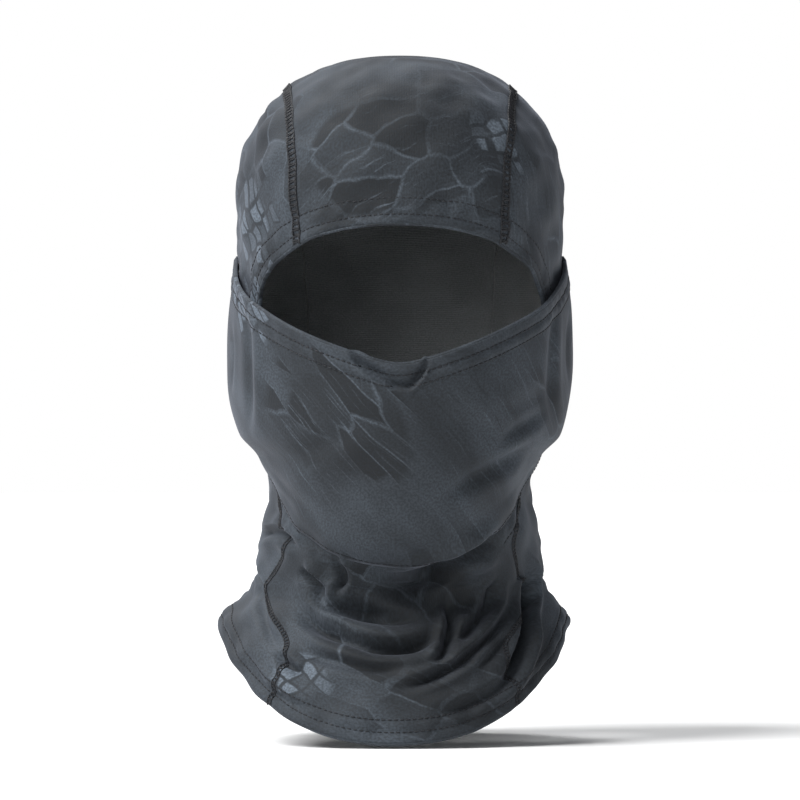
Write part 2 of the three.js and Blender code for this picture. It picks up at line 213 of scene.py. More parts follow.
PROBE_THETA, PROBE_RISE = np.meshgrid(
    np.linspace(-np.pi / 2, np.pi / 2, 361), np.linspace(0, 2.6, 521), indexing="ij"
)
PROBE = skin(PROBE_THETA, PROBE_RISE)


def from_front(x, z):
    """The place (theta, rise) seen straight from the front at that x and z."""
    miss = np.abs(PROBE[..., 0] - x) + np.abs(PROBE[..., 2] - z)
    best = np.unravel_index(np.argmin(miss), miss.shape)
    return PROBE_THETA[best], PROBE_RISE[best]


def running_length(line):
    """How far along a chain of points each of them is."""
    return np.concatenate([[0], np.cumsum(np.linalg.norm(np.diff(line, axis=0), axis=1))])


def line_distance(places, points):
    """Signed distance from places to a line through points, and how far along it (0 to 1)."""
    nearest = np.full(places.shape[:-1], 1e9)
    signed = np.zeros(places.shape[:-1])
    along = np.zeros(places.shape[:-1])
    lengths = np.linalg.norm(np.diff(points, axis=0), axis=1)
    before = 0.0
    for start, end, length in zip(points[:-1], points[1:], lengths, strict=True):
        direction = (end - start) / max(length, 1e-9)
        offset = places - start
        reach = np.clip(offset @ direction, 0, length)
        away = offset - reach[..., None] * direction
        distance = np.linalg.norm(away, axis=-1)
        side = direction[0] * offset[..., 1] - direction[1] * offset[..., 0]
        closer = distance < nearest
        nearest = np.where(closer, distance, nearest)
        signed = np.where(closer, np.sign(side) * distance, signed)
        along = np.where(closer, (before + reach) / lengths.sum(), along)
        before += length
    return signed, along


def smooth_line(points, count=24):
    """A rounded line through a few points."""
    points = np.asarray(points, float)
    ends = [2 * points[0] - points[1], *points, 2 * points[-1] - points[-2]]
    result = []
    for i in range(len(points) - 1):
        p0, p1, p2, p3 = ends[i], ends[i + 1], ends[i + 2], ends[i + 3]
        for t in np.linspace(0, 1, max(2, count // (len(points) - 1)), endpoint=False):
            result.append(
                0.5
                * (
                    2 * p1
                    + (p2 - p0) * t
                    + (2 * p0 - 5 * p1 + 4 * p2 - p3) * t**2
                    + (3 * p1 - p0 - 3 * p2 + p3) * t**3
                )
            )
    result.append(points[-1])
    return np.array(result)


# %% The folds, as seen from the front: points (x, z), depth, width
FOLD_STRENGTH = 1.3
FRONT_FOLDS = [
    # the pockets under the chin
    ([(-14, -139), (6, -137), (24, -129), (40, -118), (52, -112)], 9.0, 5.0),
    ([(-44, -147), (-24, -146), (-2, -149), (16, -148)], 4.6, 3.0),
    ([(-52, -144), (-44, -152), (-26, -160), (-6, -165), (14, -162), (26, -153)], 6.5, 3.6),
    ([(-50, -166), (-30, -172), (-8, -176), (10, -173)], 2.6, 3.0),
    ([(18, -176), (25, -164), (27, -150), (24, -140)], 5.0, 2.8),
    ([(-4, -187), (14, -181), (32, -172), (48, -158), (57, -143)], 4.6, 2.6),
    ([(28, -163), (40, -152), (48, -141), (52, -130)], 4.2, 3.0),
    ([(38, -176), (48, -168), (56, -158)], 2.4, 3.0),
    ([(62, -124), (67, -134), (64, -148), (64, -162), (58, -176), (48, -187)], 7.0, 3.6),
    # beside the left neck seam
    ([(-72, -124), (-69, -136), (-66, -150), (-61, -162), (-54, -171)], 2.6, 3.0),
    ([(-72, -112), (-62, -110), (-54, -114), (-48, -120)], 3.2, 3.0),
    ([(-50, -128), (-42, -136), (-36, -146)], 4.2, 3.2),
    ([(-34, -122), (-28, -132), (-32, -144)], 3.4, 2.6),
    ([(-60, -168), (-50, -176), (-44, -178)], 3.0, 2.6),
    # above the hem
    ([(-74, -168), (-66, -182), (-52, -192), (-36, -198)], 2.0, 3.0),
    ([(14, -198), (36, -193), (56, -182), (68, -168)], 2.0, 3.2),
]
# Folds on the sides and the back: points (degrees from the nose, rise)
ROUND_FOLDS = [
    ([(78, 1.10), (96, 1.00), (118, 1.04), (140, 1.02)], 4.5, 4.5),
    ([(84, 1.26), (104, 1.16), (126, 1.20), (150, 1.16)], 3.6, 4.5),
    ([(92, 0.72), (112, 0.66), (134, 0.74), (160, 0.70)], 3.0, 4.5),
    ([(-80, 1.08), (-100, 1.02), (-122, 1.06), (-146, 1.00)], 4.5, 4.5),
    ([(-86, 1.24), (-108, 1.18), (-128, 1.22), (-150, 1.18)], 3.6, 4.5),
    ([(-94, 0.70), (-114, 0.64), (-136, 0.70), (-158, 0.66)], 3.0, 4.5),
    ([(148, 1.32), (166, 1.27), (180, 1.28)], 2.4, 5.0),
    ([(-180, 1.28), (-166, 1.27), (-148, 1.32)], 2.4, 5.0),
    ([(150, 0.95), (168, 0.90), (180, 0.92)], 2.6, 4.5),
    ([(-180, 0.92), (-168, 0.90), (-150, 0.95)], 2.6, 4.5),
]
HOLLOWS = [
    # x, z of the middle as seen from the front, reach across and up, depth
    (16, -137, 34, 13, 14.0),
    (-16, -150, 26, 8, 4.0),
    (-40, -158, 16, 9, 3.0),
    (24, -160, 26, 7, 3.5),
    (64, -140, 9, 16, 4.0),
]


def drawn_fold(points, depth, width):
    places = np.array([np.ravel(unrolled(theta, rise)) for theta, rise in points])
    return smooth_line(places), depth, width


FOLDS = [
    drawn_fold([from_front(x, z) for x, z in points], FOLD_STRENGTH * depth, width)
    for points, depth, width in FRONT_FOLDS
] + [
    drawn_fold([(math.radians(degrees), rise) for degrees, rise in points], depth, width)
    for points, depth, width in ROUND_FOLDS
]
SUNK = [(np.ravel(unrolled(*from_front(x, z))), reach) for x, z, *reach in HOLLOWS]
print("folds drawn:", len(FOLDS))


# %% The dip and its lips
UPPER_LIP, LOWER_LIP = (0.6, 1.7, 0.9), (0.4, -1.7, 1.0)  # height, place and width, in fold widths
FADE = 0.3  # the share of a fold's length over which each end fades out


def lip(q, height, place, width):
    return height * np.exp(-(((q - place) / width) ** 2))


def fold_relief(theta, rise):
    """Height of the folds above the smooth skin."""
    places = unrolled(theta, rise)
    relief = np.zeros(places.shape[:-1])
    for middle, (across, up, depth) in SUNK:
        away = (places - middle) / (across, up)
        relief -= depth * np.exp(-np.sum(away**2, axis=-1))
    for line, depth, width in FOLDS:
        low, high = line.min(axis=0) - 6 * width, line.max(axis=0) + 6 * width
        near = np.all((places >= low) & (places <= high), axis=-1)
        if not near.any():
            continue
        signed, along = line_distance(places[near], line)
        q = signed / width
        ends = soft_step(along, 0, FADE) * (1 - soft_step(along, 1 - FADE, 1))
        dip = -np.exp(-(np.abs(q) ** 1.5))
        relief[near] += depth * ends * (dip + lip(q, *UPPER_LIP) + lip(q, *LOWER_LIP))
    return relief


WAVES = [
    # whole waves round the head, waves a millimetre up, phase, height
    (10, 0.017, 0.4, 0.5),
    (-17, 0.026, 2.1, 0.35),
    (6, -0.045, 4.0, 0.3),
    (25, 0.034, 1.2, 0.16),
    (-9, -0.071, 5.1, 0.15),
]
SLACK_TO, SLACK_FADE = 2.9, 0.4  # the rise where the slack ends, and over how much of it


def slack_relief(theta, rise):
    """Slow unevenness of cloth that is stretched over hair, ears and a jaw."""
    up = unrolled(theta, rise)[..., 1]
    relief = sum(
        height * np.sin(around * theta + 2 * np.pi * up * b + phase)
        for around, b, phase, height in WAVES
    )
    return relief * np.clip((SLACK_TO - rise) / SLACK_FADE, 0, 1)


# %% The cloth as it hangs
COLLAR_ROUNDING, COLLAR_REACH = 0.12, 0.2
HEM_SHIFT, SHIFTED_BELOW = 3.2, 1.15  # the loose hem hangs a little to one side
SAG = 0.5  # how far a ridge sinks for each millimetre that it stands out


def rounded_collar(theta, rise):
    """The skin with its bend at the collar rounded off, as cloth does."""
    reach = COLLAR_ROUNDING * np.exp(-(((rise - 1) / COLLAR_REACH) ** 2))
    steps = np.linspace(-1, 1, 7)
    weights = 1.15 - np.abs(steps)
    points = sum(w * skin(theta, rise + s * reach) for s, w in zip(steps, weights, strict=True))
    return points / weights.sum()


def cloth(theta, rise):
    """The worn cloth with its folds: ridges stand out and sag a little under their weight."""
    theta, rise = paired(theta, rise)
    relief = fold_relief(theta, rise)
    height = relief + slack_relief(theta, rise)
    base = rounded_collar(theta, rise) + skin_normals(theta, rise) * height[..., None]
    base[..., 2] -= np.maximum(relief, 0) * SAG
    base[..., 0] -= HEM_SHIFT * (1 - np.clip(rise / SHIFTED_BELOW, 0, 1)) ** 0.8
    return base


# %% [markdown]
# The panels meet along sewn lines, so the cut has to be clean. One dense mesh of the whole hood
# is made first. Wherever a sewing line crosses an edge of it, the nearer end of that edge is slid
# along the edge onto the line. After that no triangle lies on both sides of a line, and the
# panels separate exactly there, with no knife or boolean and no broken triangles.

# %% Where the hood is cut
CROWN_STRIP = {"top": 115, "nape": 66}
FACE = {"side": 70, "top": 42, "bottom": 132, "roundness": 2.3}
CHIN_Z = -126
MASK_END = math.radians(97)
MASK_SEAM_END = -52
CHIN_CURVE = 1.65
NECK_HALF = 59
WANDER, WANDER_HALF_WAVE, WANDER_FROM = -6, 30, -124  # how the neck seams bend, in mm
WANDER_MIDDLE, WANDER_REACH = -152, 40
NAPE_Z = COLLAR[0] - HEM_DROP["back"]


def strip_half(z):
    share = (z - NAPE_Z) / (CROWN_TOP - NAPE_Z)
    return (CROWN_STRIP["nape"] + (CROWN_STRIP["top"] - CROWN_STRIP["nape"]) * share) / 2


def seam_height(theta):
    """Height of the seam under the chin, which climbs to the ears."""
    share = np.abs(theta / MASK_END) ** CHIN_CURVE
    return CHIN_Z + (MASK_SEAM_END - CHIN_Z) * share


def wrapped(theta):
    return (theta + np.pi) % (2 * np.pi) - np.pi


def crown_side(theta, rise):
    """Negative inside the crown strip, positive beyond its seams."""
    place = skin(theta, rise)
    return np.abs(place[..., 0]) - strip_half(place[..., 2])


def chin_side(theta, rise):
    """Negative below the seam under the chin."""
    return skin(theta, rise)[..., 2] - seam_height(wrapped(theta))


def neck_side(theta, rise):
    """Negative on the front neck panel. Its seams wander a little, as pulled cloth does."""
    place = skin(theta, rise)
    z = place[..., 2]
    bend = np.sin((z - WANDER_FROM) * np.pi / WANDER_HALF_WAVE)
    wander = WANDER * bend * np.exp(-(((z - WANDER_MIDDLE) / WANDER_REACH) ** 2))
    return np.abs(place[..., 0]) - (NECK_HALF + wander)


def face_edge(turn):
    """The edge of the face opening: theta and rise for a turn round it."""
    power = 2 / FACE["roundness"]
    tall = np.where(np.sin(turn) > 0, FACE["top"], FACE["bottom"])
    z = tall * signed_power(np.sin(turn), power)
    x = FACE["side"] * signed_power(np.cos(turn), power)
    half = section_size(np.clip(z, COLLAR[0], TEMPLE[0]), 1)
    theta = np.arcsin(np.clip(signed_power(x / half, SECTION_ROUNDNESS / 2), -1, 1))
    return theta, 1 + (z - COLLAR[0]) / HEAD_HEIGHT


FACE_TURN = np.linspace(0, 2 * np.pi, 900, endpoint=False)
FACE_EDGE = skin(*face_edge(FACE_TURN))
FACE_TREE = kdtree.KDTree(len(FACE_EDGE))
for index, point in enumerate(FACE_EDGE):
    FACE_TREE.insert(point, index)
FACE_TREE.balance()


def face_side(theta, rise):
    """Distance from the edge of the face opening, negative inside it."""
    place = skin(theta, rise)
    flat = place.reshape(-1, 3)
    distance = np.array([FACE_TREE.find(point)[2] for point in flat]).reshape(place.shape[:-1])
    tall = np.where(place[..., 2] > 0, FACE["top"], FACE["bottom"])
    power = FACE["roundness"]
    oval = np.abs(place[..., 0] / FACE["side"]) ** power + np.abs(place[..., 2] / tall) ** power
    inside = (oval < 1) & (place[..., 1] < 0)
    return np.where(inside, -distance, distance)


def flare_length(theta):
    return np.linalg.norm(skin(theta, 1.0) - skin(theta, 0.0), axis=-1)


def hem_side(theta, rise):
    """Distance up the cloth from the neck hem."""
    length = flare_length(theta)
    return np.where(rise < 1, rise * length, length + (rise - 1) * HEAD_HEIGHT)


print("face opening:", round(float(np.ptp(FACE_EDGE[:, 0])), 1), "mm wide")

# %% [markdown]
# A turned hem is twice as thick as the cloth beside it, so it stands a little proud, and each row
# of stitches pulls a groove into it. A sewn seam between two panels lies in a shallow dip.

# %% Hems and seams pressed into the cloth
FACE_HEM, FACE_ROWS = 15, (4.5, 12.5)
NECK_HEM, NECK_ROWS = 15, (6, 12.5)
GROOVE_DEPTH, GROOVE_WIDTH = 0.6, 1.2
BAND_HEIGHT, BAND_STEP = 0.7, (-2.5, 0.5)
PUCKER, PUCKER_END = 0.3, (-1, 7)
NECK_PUCKERS, FACE_PUCKERS = 41, (0.62, 40)
CROWN_DIP, NECK_DIP = (0.45, 3.2), (0.6, 2.2)  # depth and width


def band_relief(distance, hem, rows, pucker):
    """Height of a hem band: proud over its width, grooved along its rows, a little puckered."""
    relief = BAND_HEIGHT * (1 - soft_step(distance, hem + BAND_STEP[0], hem + BAND_STEP[1]))
    for row in rows:
        relief = relief - GROOVE_DEPTH * np.exp(-(((distance - row) / GROOVE_WIDTH) ** 2))
    inside = 1 - soft_step(distance, hem + PUCKER_END[0], hem + PUCKER_END[1])
    return relief + inside * pucker * np.sin(np.pi * np.clip(distance / hem, 0, 1.4)) ** 2


def worn(theta, rise):
    """The finished outer surface of the hood: folds, hem bands and seam dips."""
    theta, rise = paired(theta, rise)
    to_hem = hem_side(theta, rise)
    relief = band_relief(to_hem, NECK_HEM, NECK_ROWS, PUCKER * np.sin(NECK_PUCKERS * theta + 1))
    near_face = (np.abs(theta) < 1.5) & (rise > 1.1) & (rise < 2.3)
    to_face = np.full(theta.shape, 1e3)
    if near_face.any():
        to_face[near_face] = face_side(theta[near_face], rise[near_face])
    round_, up = FACE_PUCKERS
    pucker = PUCKER * np.sin(theta * GIRTH_RADIUS * round_ + 2 * np.sin(rise * up))
    relief = relief + band_relief(np.maximum(to_face, 0), FACE_HEM, FACE_ROWS, pucker) * near_face
    on_crown_seam = (rise > 1) | (np.abs(theta) > np.pi / 2)
    on_neck_seam = (rise < 1.3) & (np.abs(theta) < 1.4)
    for (depth, width), field, where in (
        (CROWN_DIP, crown_side, on_crown_seam),
        (NECK_DIP, neck_side, on_neck_seam),
    ):
        relief = relief - depth * np.exp(-((field(theta, rise) / width) ** 2)) * where
    return cloth(theta, rise) + skin_normals(theta, rise) * relief[..., None]


# %% The dense mesh of the whole hood
AROUND = 340
FLARE_ROWS, HEAD_ROWS, DOME_ROWS = ((56, 130, 62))
rises = np.concatenate(
    [
        np.linspace(0, 1, FLARE_ROWS, endpoint=False),
        np.linspace(1, 2, HEAD_ROWS, endpoint=False),
        np.linspace(2, 3, DOME_ROWS),
    ]
)
thetas = np.linspace(-np.pi, np.pi, AROUND + 1)
grid_theta, grid_rise = np.meshgrid(thetas, rises, indexing="ij")
place = np.stack([grid_theta.ravel(), grid_rise.ravel()], axis=-1)
rows = len(rises)
i, j = np.meshgrid(np.arange(AROUND), np.arange(rows - 1), indexing="ij")
corner = (i * rows + j).ravel()
one = np.stack([corner, corner + rows, corner + rows + 1], axis=-1)
two = np.stack([corner, corner + rows + 1, corner + 1], axis=-1)
triangles = np.concatenate([one, two])


def edges_of(chosen):
    """The edges of some triangles, each as a sorted pair of points."""
    pairs = np.concatenate([chosen[:, [0, 1]], chosen[:, [1, 2]], chosen[:, [2, 0]]])
    return np.unique(np.sort(pairs, axis=1), axis=0)


edges = edges_of(triangles)
print("hood grid:", len(place), "points,", len(triangles), "triangles")


# %% Slide points onto the sewing lines
def slide_onto(field, where, locked):
    """Moves the nearer end of each crossed edge onto the line where field is 0."""
    value = field(place[:, 0], place[:, 1])
    allowed = where(place[:, 0], place[:, 1])
    a, b = edges.T
    crossed = (value[a] * value[b] < 0) & allowed[a] & allowed[b]
    a, b = a[crossed], b[crossed]
    t = value[a] / (value[a] - value[b])
    take_a = np.where(locked[a] & ~locked[b], False, np.where(locked[b] & ~locked[a], True, t < 0.5))
    moved = np.where(take_a, a, b)
    how_far = np.where(take_a, t, 1 - t)
    target = place[a] + t[:, None] * (place[b] - place[a])
    order = np.argsort(-how_far)
    place[moved[order]] = target[order]
    on_line = np.zeros(len(place), bool)
    on_line[moved] = True
    return on_line


def not_the_face(theta, rise):
    return (np.abs(theta) > np.pi / 2) | (skin(theta, rise)[..., 2] > 0)


def front_neck(theta, rise):
    return (np.abs(theta) < 1.35) & (rise < 1.45)


locked = np.zeros(len(place), bool)
on_chin = slide_onto(chin_side, front_neck, locked)
locked |= on_chin
on_neck = slide_onto(neck_side, lambda t, r: front_neck(t, r) & (chin_side(t, r) < 3), locked)
locked |= on_neck
on_face = slide_onto(face_side, lambda t, r: np.abs(t) < 1.45, locked)
locked |= on_face
on_crown = slide_onto(crown_side, not_the_face, locked)
print("points on lines:", int((on_chin | on_neck | on_face | on_crown).sum()))


# %% Which panel each triangle belongs to
def side_of(field, on_line):
    """True where a triangle lies on the negative side of a line."""
    value = field(place[:, 0], place[:, 1])
    value[on_line] = 0
    return value[triangles].sum(axis=1) < 0


middle = place[triangles].mean(axis=1)
middle_xyz = skin(middle[:, 0], middle[:, 1])
in_front = np.abs(middle[:, 0]) < np.pi / 2
below_chin = side_of(chin_side, on_chin) & in_front
hole = side_of(face_side, on_face) & ~below_chin
neck = below_chin & side_of(neck_side, on_neck)
crown = side_of(crown_side, on_crown) & ~hole & ~(in_front & (middle_xyz[:, 2] < 0))
left = (middle_xyz[:, 0] > 0) & ~hole & ~neck & ~crown
right = (middle_xyz[:, 0] < 0) & ~hole & ~neck & ~crown
HOOD_PANELS = {
    "crown_cloth": (crown, "crown_panel"),
    "left_side_cloth": (left, "left_side_panel"),
    "right_side_cloth": (right, "right_side_panel"),
    "neck_front_cloth": (neck, "neck_front_panel"),
}
points_mm = worn(place[:, 0], place[:, 1])
print({name: int(mask.sum()) for name, (mask, _) in HOOD_PANELS.items()})

# %% [markdown]
# Each panel becomes its own mesh. The cloth gets its thickness from a Solidify modifier that
# grows inwards, and the new inner face takes the second material, because this knit is printed
# on one side only. The place of every point on the flat cloth is kept as an attribute, so the
# print can follow the cloth and stay with it when the mask moves.


# %% Making cloth objects
def add_object(name, data):
    obj = bpy.data.objects.new(name, data)
    bpy.context.scene.collection.objects.link(obj)
    return obj


def mesh_object(name, points, faces, materials=(), attributes=None):
    mesh = bpy.data.meshes.new(name)
    mesh.from_pydata((np.asarray(points) * MM).tolist(), [], np.asarray(faces).tolist())
    for key, values in (attributes or {}).items():
        kind = "FLOAT_VECTOR" if values.ndim == 2 else "FLOAT"
        field = "vector" if values.ndim == 2 else "value"
        layer = mesh.attributes.new(key, kind, "POINT")
        layer.data.foreach_set(field, np.asarray(values, np.float32).ravel())
    for material in materials:
        mesh.materials.append(material)
    mesh.update()
    mesh.shade_smooth()
    return add_object(name, mesh)


@contextlib.contextmanager
def edited(obj):
    """The mesh of an object, opened for edits and written back after them."""
    shape = bmesh.new()
    shape.from_mesh(obj.data)
    yield shape
    shape.to_mesh(obj.data)
    shape.free()


def join_doubles(obj, distance=1e-5):
    """Merges points that lie on each other, such as the grid's two ends at the back."""
    with edited(obj) as shape:
        bmesh.ops.remove_doubles(shape, verts=shape.verts, dist=distance)
        bmesh.ops.dissolve_degenerate(shape, dist=distance / 10, edges=shape.edges)


def apply_modifier(obj, kind, **settings):
    modifier = obj.modifiers.new(kind.lower(), kind)
    for key, value in settings.items():
        setattr(modifier, key, value)
    with bpy.context.temp_override(object=obj, active_object=obj, selected_objects=[obj]):
        bpy.ops.object.modifier_apply(modifier=modifier.name)


def sub_mesh(faces, *arrays):
    """Only the points that some faces use, with the faces renumbered."""
    used = np.unique(faces)
    number = np.full(used.max() + 1, -1)
    number[used] = np.arange(len(used))
    return number[faces], *[array[used] for array in arrays]


# %% [markdown]
# The print is a generic scale camouflage: clouds of two greys, patches of long dark cells with
# pale outlines, patches of small hexagon cells, feathery streaks between them and broad darker
# clouds over it all. Under the chin and down the right side these darker clouds are painted shade,
# where the chin's shadow falls and where the side is turned from the key lamp. A printer repeats
# it over the cloth, so each panel shows another part of it at another angle. Where each kind of
# patch lies is painted on the points in code, as soft spots.

# %% Patches of the print: x, y, z of the middle, radius, amount
LONG_CELLS = [
    (-22, -92, 78, 30, 1.1),
    (18, -90, 84, 26, 1.1),
    (-70, -44, 78, 20, 0.9),
    (-42, -100, -50, 26, 0.8),
    (-20, -108, -62, 20, 0.8),
    (74, -20, 60, 34, 0.6),
    (66, -50, -50, 24, 0.4),
    (-14, -72, -152, 30, 0.45),
    (18, -70, -142, 30, 0.5),
    (30, -78, -172, 26, 0.45),
    (30, -86, -185, 30, 0.4),
    (0, 96, 40, 60, 0.9),
    (-78, 20, -20, 40, 0.8),
    (76, 30, -60, 40, 0.8),
    (10, 20, 126, 60, 0.9),
    (-40, 70, -120, 40, 0.7),
]
SMALL_CELLS = [
    (-77, -42, 34, 24, 1.2),
    (-70, -60, 4, 20, 0.8),
    (48, -76, 84, 15, 0.7),
    (-50, -84, -181, 11, 1.3),
    (80, 40, 10, 34, 1.0),
    (-50, 80, 60, 34, 1.0),
    (40, 80, -60, 30, 1.0),
    (-70, 30, -110, 26, 0.8),
]
STREAKS = [
    (76, -50, 48, 44, 1.0),
    (40, -90, 62, 22, 1.0),
    (-10, -96, 56, 26, 0.9),
    (0, -84, 92, 40, 0.45),
    (-30, -95, 52, 18, 0.9),
    (-58, -86, 20, 16, 0.8),
    (-52, -92, -74, 28, 1.2),
    (-24, -108, -52, 30, 0.7),
    (70, -60, 20, 26, 0.8),
    (44, -98, -56, 40, 0.8),
    (78, -40, -40, 34, 0.8),
    (20, -70, -165, 34, 0.8),
    (-30, -60, -150, 26, 0.7),
    (-60, 60, 0, 50, 0.8),
    (30, 90, 0, 50, 0.7),
]
# Broad darker clouds of the print. The first two, under the chin, and the two at x 60 on the right side are
# painted shade: the chin's shadow and the side turned from the key lamp.
DARK_CLOUDS_AND_PAINTED_SHADE = [
    (10, -72, -146, 32, 1.0),
    (16, -66, -135, 18, 0.5),
    (14, -112, -60, 34, 0.75),
    (60, -60, -184, 36, 0.7),
    (-6, -92, 72, 34, 0.35),
    (60, -60, 60, 40, 0.3),
]


def painted(points, spots):
    """How much of a kind of patch there is at each point, from 0 to 1."""
    amount = np.zeros(len(points))
    for x, y, z, radius, strength in spots:
        distance = np.linalg.norm(points - np.array((x, y, z), float), axis=1)
        amount += strength * np.exp(-((distance / radius) ** 2))
    return np.clip(amount, 0, 1)


PRINT_TURN = {
    # how far the print is turned on each panel, in degrees, where on the roll it was cut, and how
    # much the worn cloth draws the cells out
    "crown_cloth": (-24, 0.0, 1.0),
    "left_side_cloth": (80, 0.31, 1.25),
    "right_side_cloth": (58, 0.63, 1.2),
    "neck_front_cloth": (28, 0.93, 1.1),
    "mask_cloth": (48, 1.27, 1.6),
}


def cloth_print(name, flat, points):
    """The attributes that place the print, and the painted shade, on one panel. flat is its cut shape in
    millimetres.
    """
    turn, shift, drawn_out = PRINT_TURN[name]
    turn = math.radians(turn)
    along = flat[:, 0] * math.cos(turn) - flat[:, 1] * math.sin(turn)
    across = flat[:, 0] * math.sin(turn) + flat[:, 1] * math.cos(turn)
    zero = np.zeros(len(flat))
    return {
        "print_place": np.stack([along * MM / drawn_out + shift, across * MM * drawn_out, zero], axis=1),
        "knit_place": np.stack([flat[:, 0] * MM, flat[:, 1] * MM, zero], axis=1),
        "long_cells": painted(points, LONG_CELLS),
        "small_cells": painted(points, SMALL_CELLS),
        "streaks": painted(points, STREAKS),
        "dark_clouds": painted(points, DARK_CLOUDS_AND_PAINTED_SHADE),
    }


DOME_RADIUS = 100


def flat_on_hood(theta, rise, points, name):
    """The cut shape of a hood panel: millimetres across it and along it."""
    if name == "crown_cloth":
        turn = np.arctan2(points[:, 2], -points[:, 1]) % (2 * np.pi)
        along = np.where(turn < np.pi, DOME_RADIUS * turn, DOME_RADIUS * np.pi - points[:, 2])
        return np.stack([points[:, 0], along], axis=1)
    share = np.clip(np.cos(np.clip(rise - 2, 0, 1) * np.pi / 2), 0, 1)
    quarter = np.sign(theta) * np.pi / 2
    round_ = (theta - quarter) * share + quarter
    return np.stack([round_ * GIRTH_RADIUS, unrolled(theta, rise)[:, 1]], axis=1)


# %% [markdown]
# Materials are built from nodes. A few short helpers add a node, set its sockets and link it, so
# that each material below reads as a recipe.


# %% Node helpers
def new_material(name):
    material = bpy.data.materials.new(name)
    material.use_nodes = True
    nodes, links = material.node_tree.nodes, material.node_tree.links
    shader = nodes["Principled BSDF"]

    def node(kind, inputs=None, **settings):
        made = nodes.new(kind)
        for key, value in settings.items():
            setattr(made, key, value)
        for key, value in (inputs or {}).items():
            socket = made.inputs[key]
            if isinstance(value, bpy.types.NodeSocket):
                links.new(value, socket)
            else:
                socket.default_value = value
        return made

    return material, shader, node, links


def set_inputs(node, **values):
    """Sets sockets by name, with the spaces written as underscores."""
    for key, value in values.items():
        node.inputs[key.replace("_", " ")].default_value = value


def math_node(node, operation, a, b=0.0):
    return node("ShaderNodeMath", {0: a, 1: b}, operation=operation).outputs[0]


def product(node, first, *others):
    for other in others:
        first = math_node(node, "MULTIPLY", first, other)
    return first


def weighted(node, a, share_a, b, share_b):
    return math_node(node, "ADD", product(node, a, share_a), product(node, b, share_b))


def vector_node(node, operation, a, b, socket=1):
    return node("ShaderNodeVectorMath", {0: a, socket: b}, operation=operation).outputs[0]


def noise(node, vector, scale, detail, **more):
    return node("ShaderNodeTexNoise", {"Vector": vector, "Scale": scale, "Detail": detail, **more})


def ribs(node, vector, scale, distortion, direction, **more):
    inputs = {"Vector": vector, "Scale": scale, "Distortion": distortion, "Detail": 1.0, **more}
    return node("ShaderNodeTexWave", inputs, bands_direction=direction).outputs["Fac"]


def bump(node, height, strength, distance):
    inputs = {"Height": height, "Strength": strength, "Distance": distance}
    return node("ShaderNodeBump", inputs).outputs[0]


def smooth_range(node, value, low, high, to_low=0.0, to_high=1.0):
    inputs = {"Value": value, "From Min": low, "From Max": high, "To Min": to_low, "To Max": to_high}
    made = node("ShaderNodeMapRange", inputs, interpolation_type="SMOOTHSTEP")
    return made.outputs["Result"]


def mixed(node, factor, a, b, blend="MIX"):
    made = node("ShaderNodeMix", data_type="RGBA", blend_type=blend)
    for index, value in ((0, factor), (6, a), (7, b)):
        socket = made.inputs[index]
        if isinstance(value, bpy.types.NodeSocket):
            made.id_data.links.new(value, socket)
        else:
            socket.default_value = value
    return made.outputs[2]


def attribute(node, name, output="Vector"):
    return node("ShaderNodeAttribute", attribute_name=name, attribute_type="GEOMETRY").outputs[output]


BLUE, GREEN = 1.5, 1.225  # how much more blue and green than red there is in the cool greys


def grey(level):
    """A cool grey of the given darkness."""
    return (level, level * GREEN, level * BLUE, 1.0)


# %% [markdown]
# The outside of the knit is brushed, printed polyester: matt, with a faint sheen where it turns
# away, and a fine heathered speckle. Two Voronoi textures draw the cells, warped by noise so that
# no two are alike, and a stretched noise draws the feathery streaks. The bump is the fine rib of
# the knit and the speckle, a few hundredths of a millimetre high.


# %% Dyes of the print
GROUND_DYES = grey(0.0155), grey(0.0345)
CELL_DYE, OUTLINE_DYE = grey(0.0085), grey(0.07)
SCALE_DYES, SCALE_RIM_DYE = (grey(0.03), grey(0.085)), grey(0.014)
# The last dye darkens the print's broad clouds and also paints the shade under the chin and down the right
# side.
PALE_HAIR_DYE, DARK_HAIR_DYE, CLOUD_AND_SHADE_DYE = grey(0.07), grey(0.009), grey(0.006)


def stretched(node, vector, along, across):
    return vector_node(node, "MULTIPLY", vector, (along, across, 1.0))


def cells(node, vector, randomness):
    """Voronoi cells: distance to their edges, and two random numbers for each cell."""
    inputs = {"Vector": vector, "Scale": 1.0, "Randomness": randomness}
    edge = node("ShaderNodeTexVoronoi", inputs, voronoi_dimensions="2D", feature="DISTANCE_TO_EDGE")
    cell = node("ShaderNodeTexVoronoi", inputs, voronoi_dimensions="2D", feature="F1")
    luck, tint, _ = node("ShaderNodeSeparateColor", {"Color": cell.outputs["Color"]}).outputs
    return edge.outputs[0], luck, tint


def patch_of(node, name, luck, share, low, high):
    """Where a patch is: each of its cells is wholly there or not, as its luck falls."""
    wanted = math_node(node, "ADD", attribute(node, name, "Fac"), product(node, luck, share))
    return smooth_range(node, wanted, low, high)


# %% Long cells, small scales and hair
def long_cells(node, ground, warped, clouds):
    """Long dark cells with fine pale outlines here and there."""
    edge, luck, tint = cells(node, stretched(node, warped, 38.0, 66.0), 0.7)
    patch = patch_of(node, "long_cells", luck, 0.55, 0.52, 0.66)
    inside = smooth_range(node, edge, 0.035, 0.06)
    depth = smooth_range(node, tint, 0.2, 0.8, 0.45, 0.95)
    filled = mixed(node, product(node, inside, patch, depth), ground, CELL_DYE)
    ring = smooth_range(node, edge, 0.006, 0.03, 0.55, 0.0)
    broken = smooth_range(node, clouds, 0.42, 0.6)
    return mixed(node, product(node, ring, patch, broken), filled, OUTLINE_DYE)


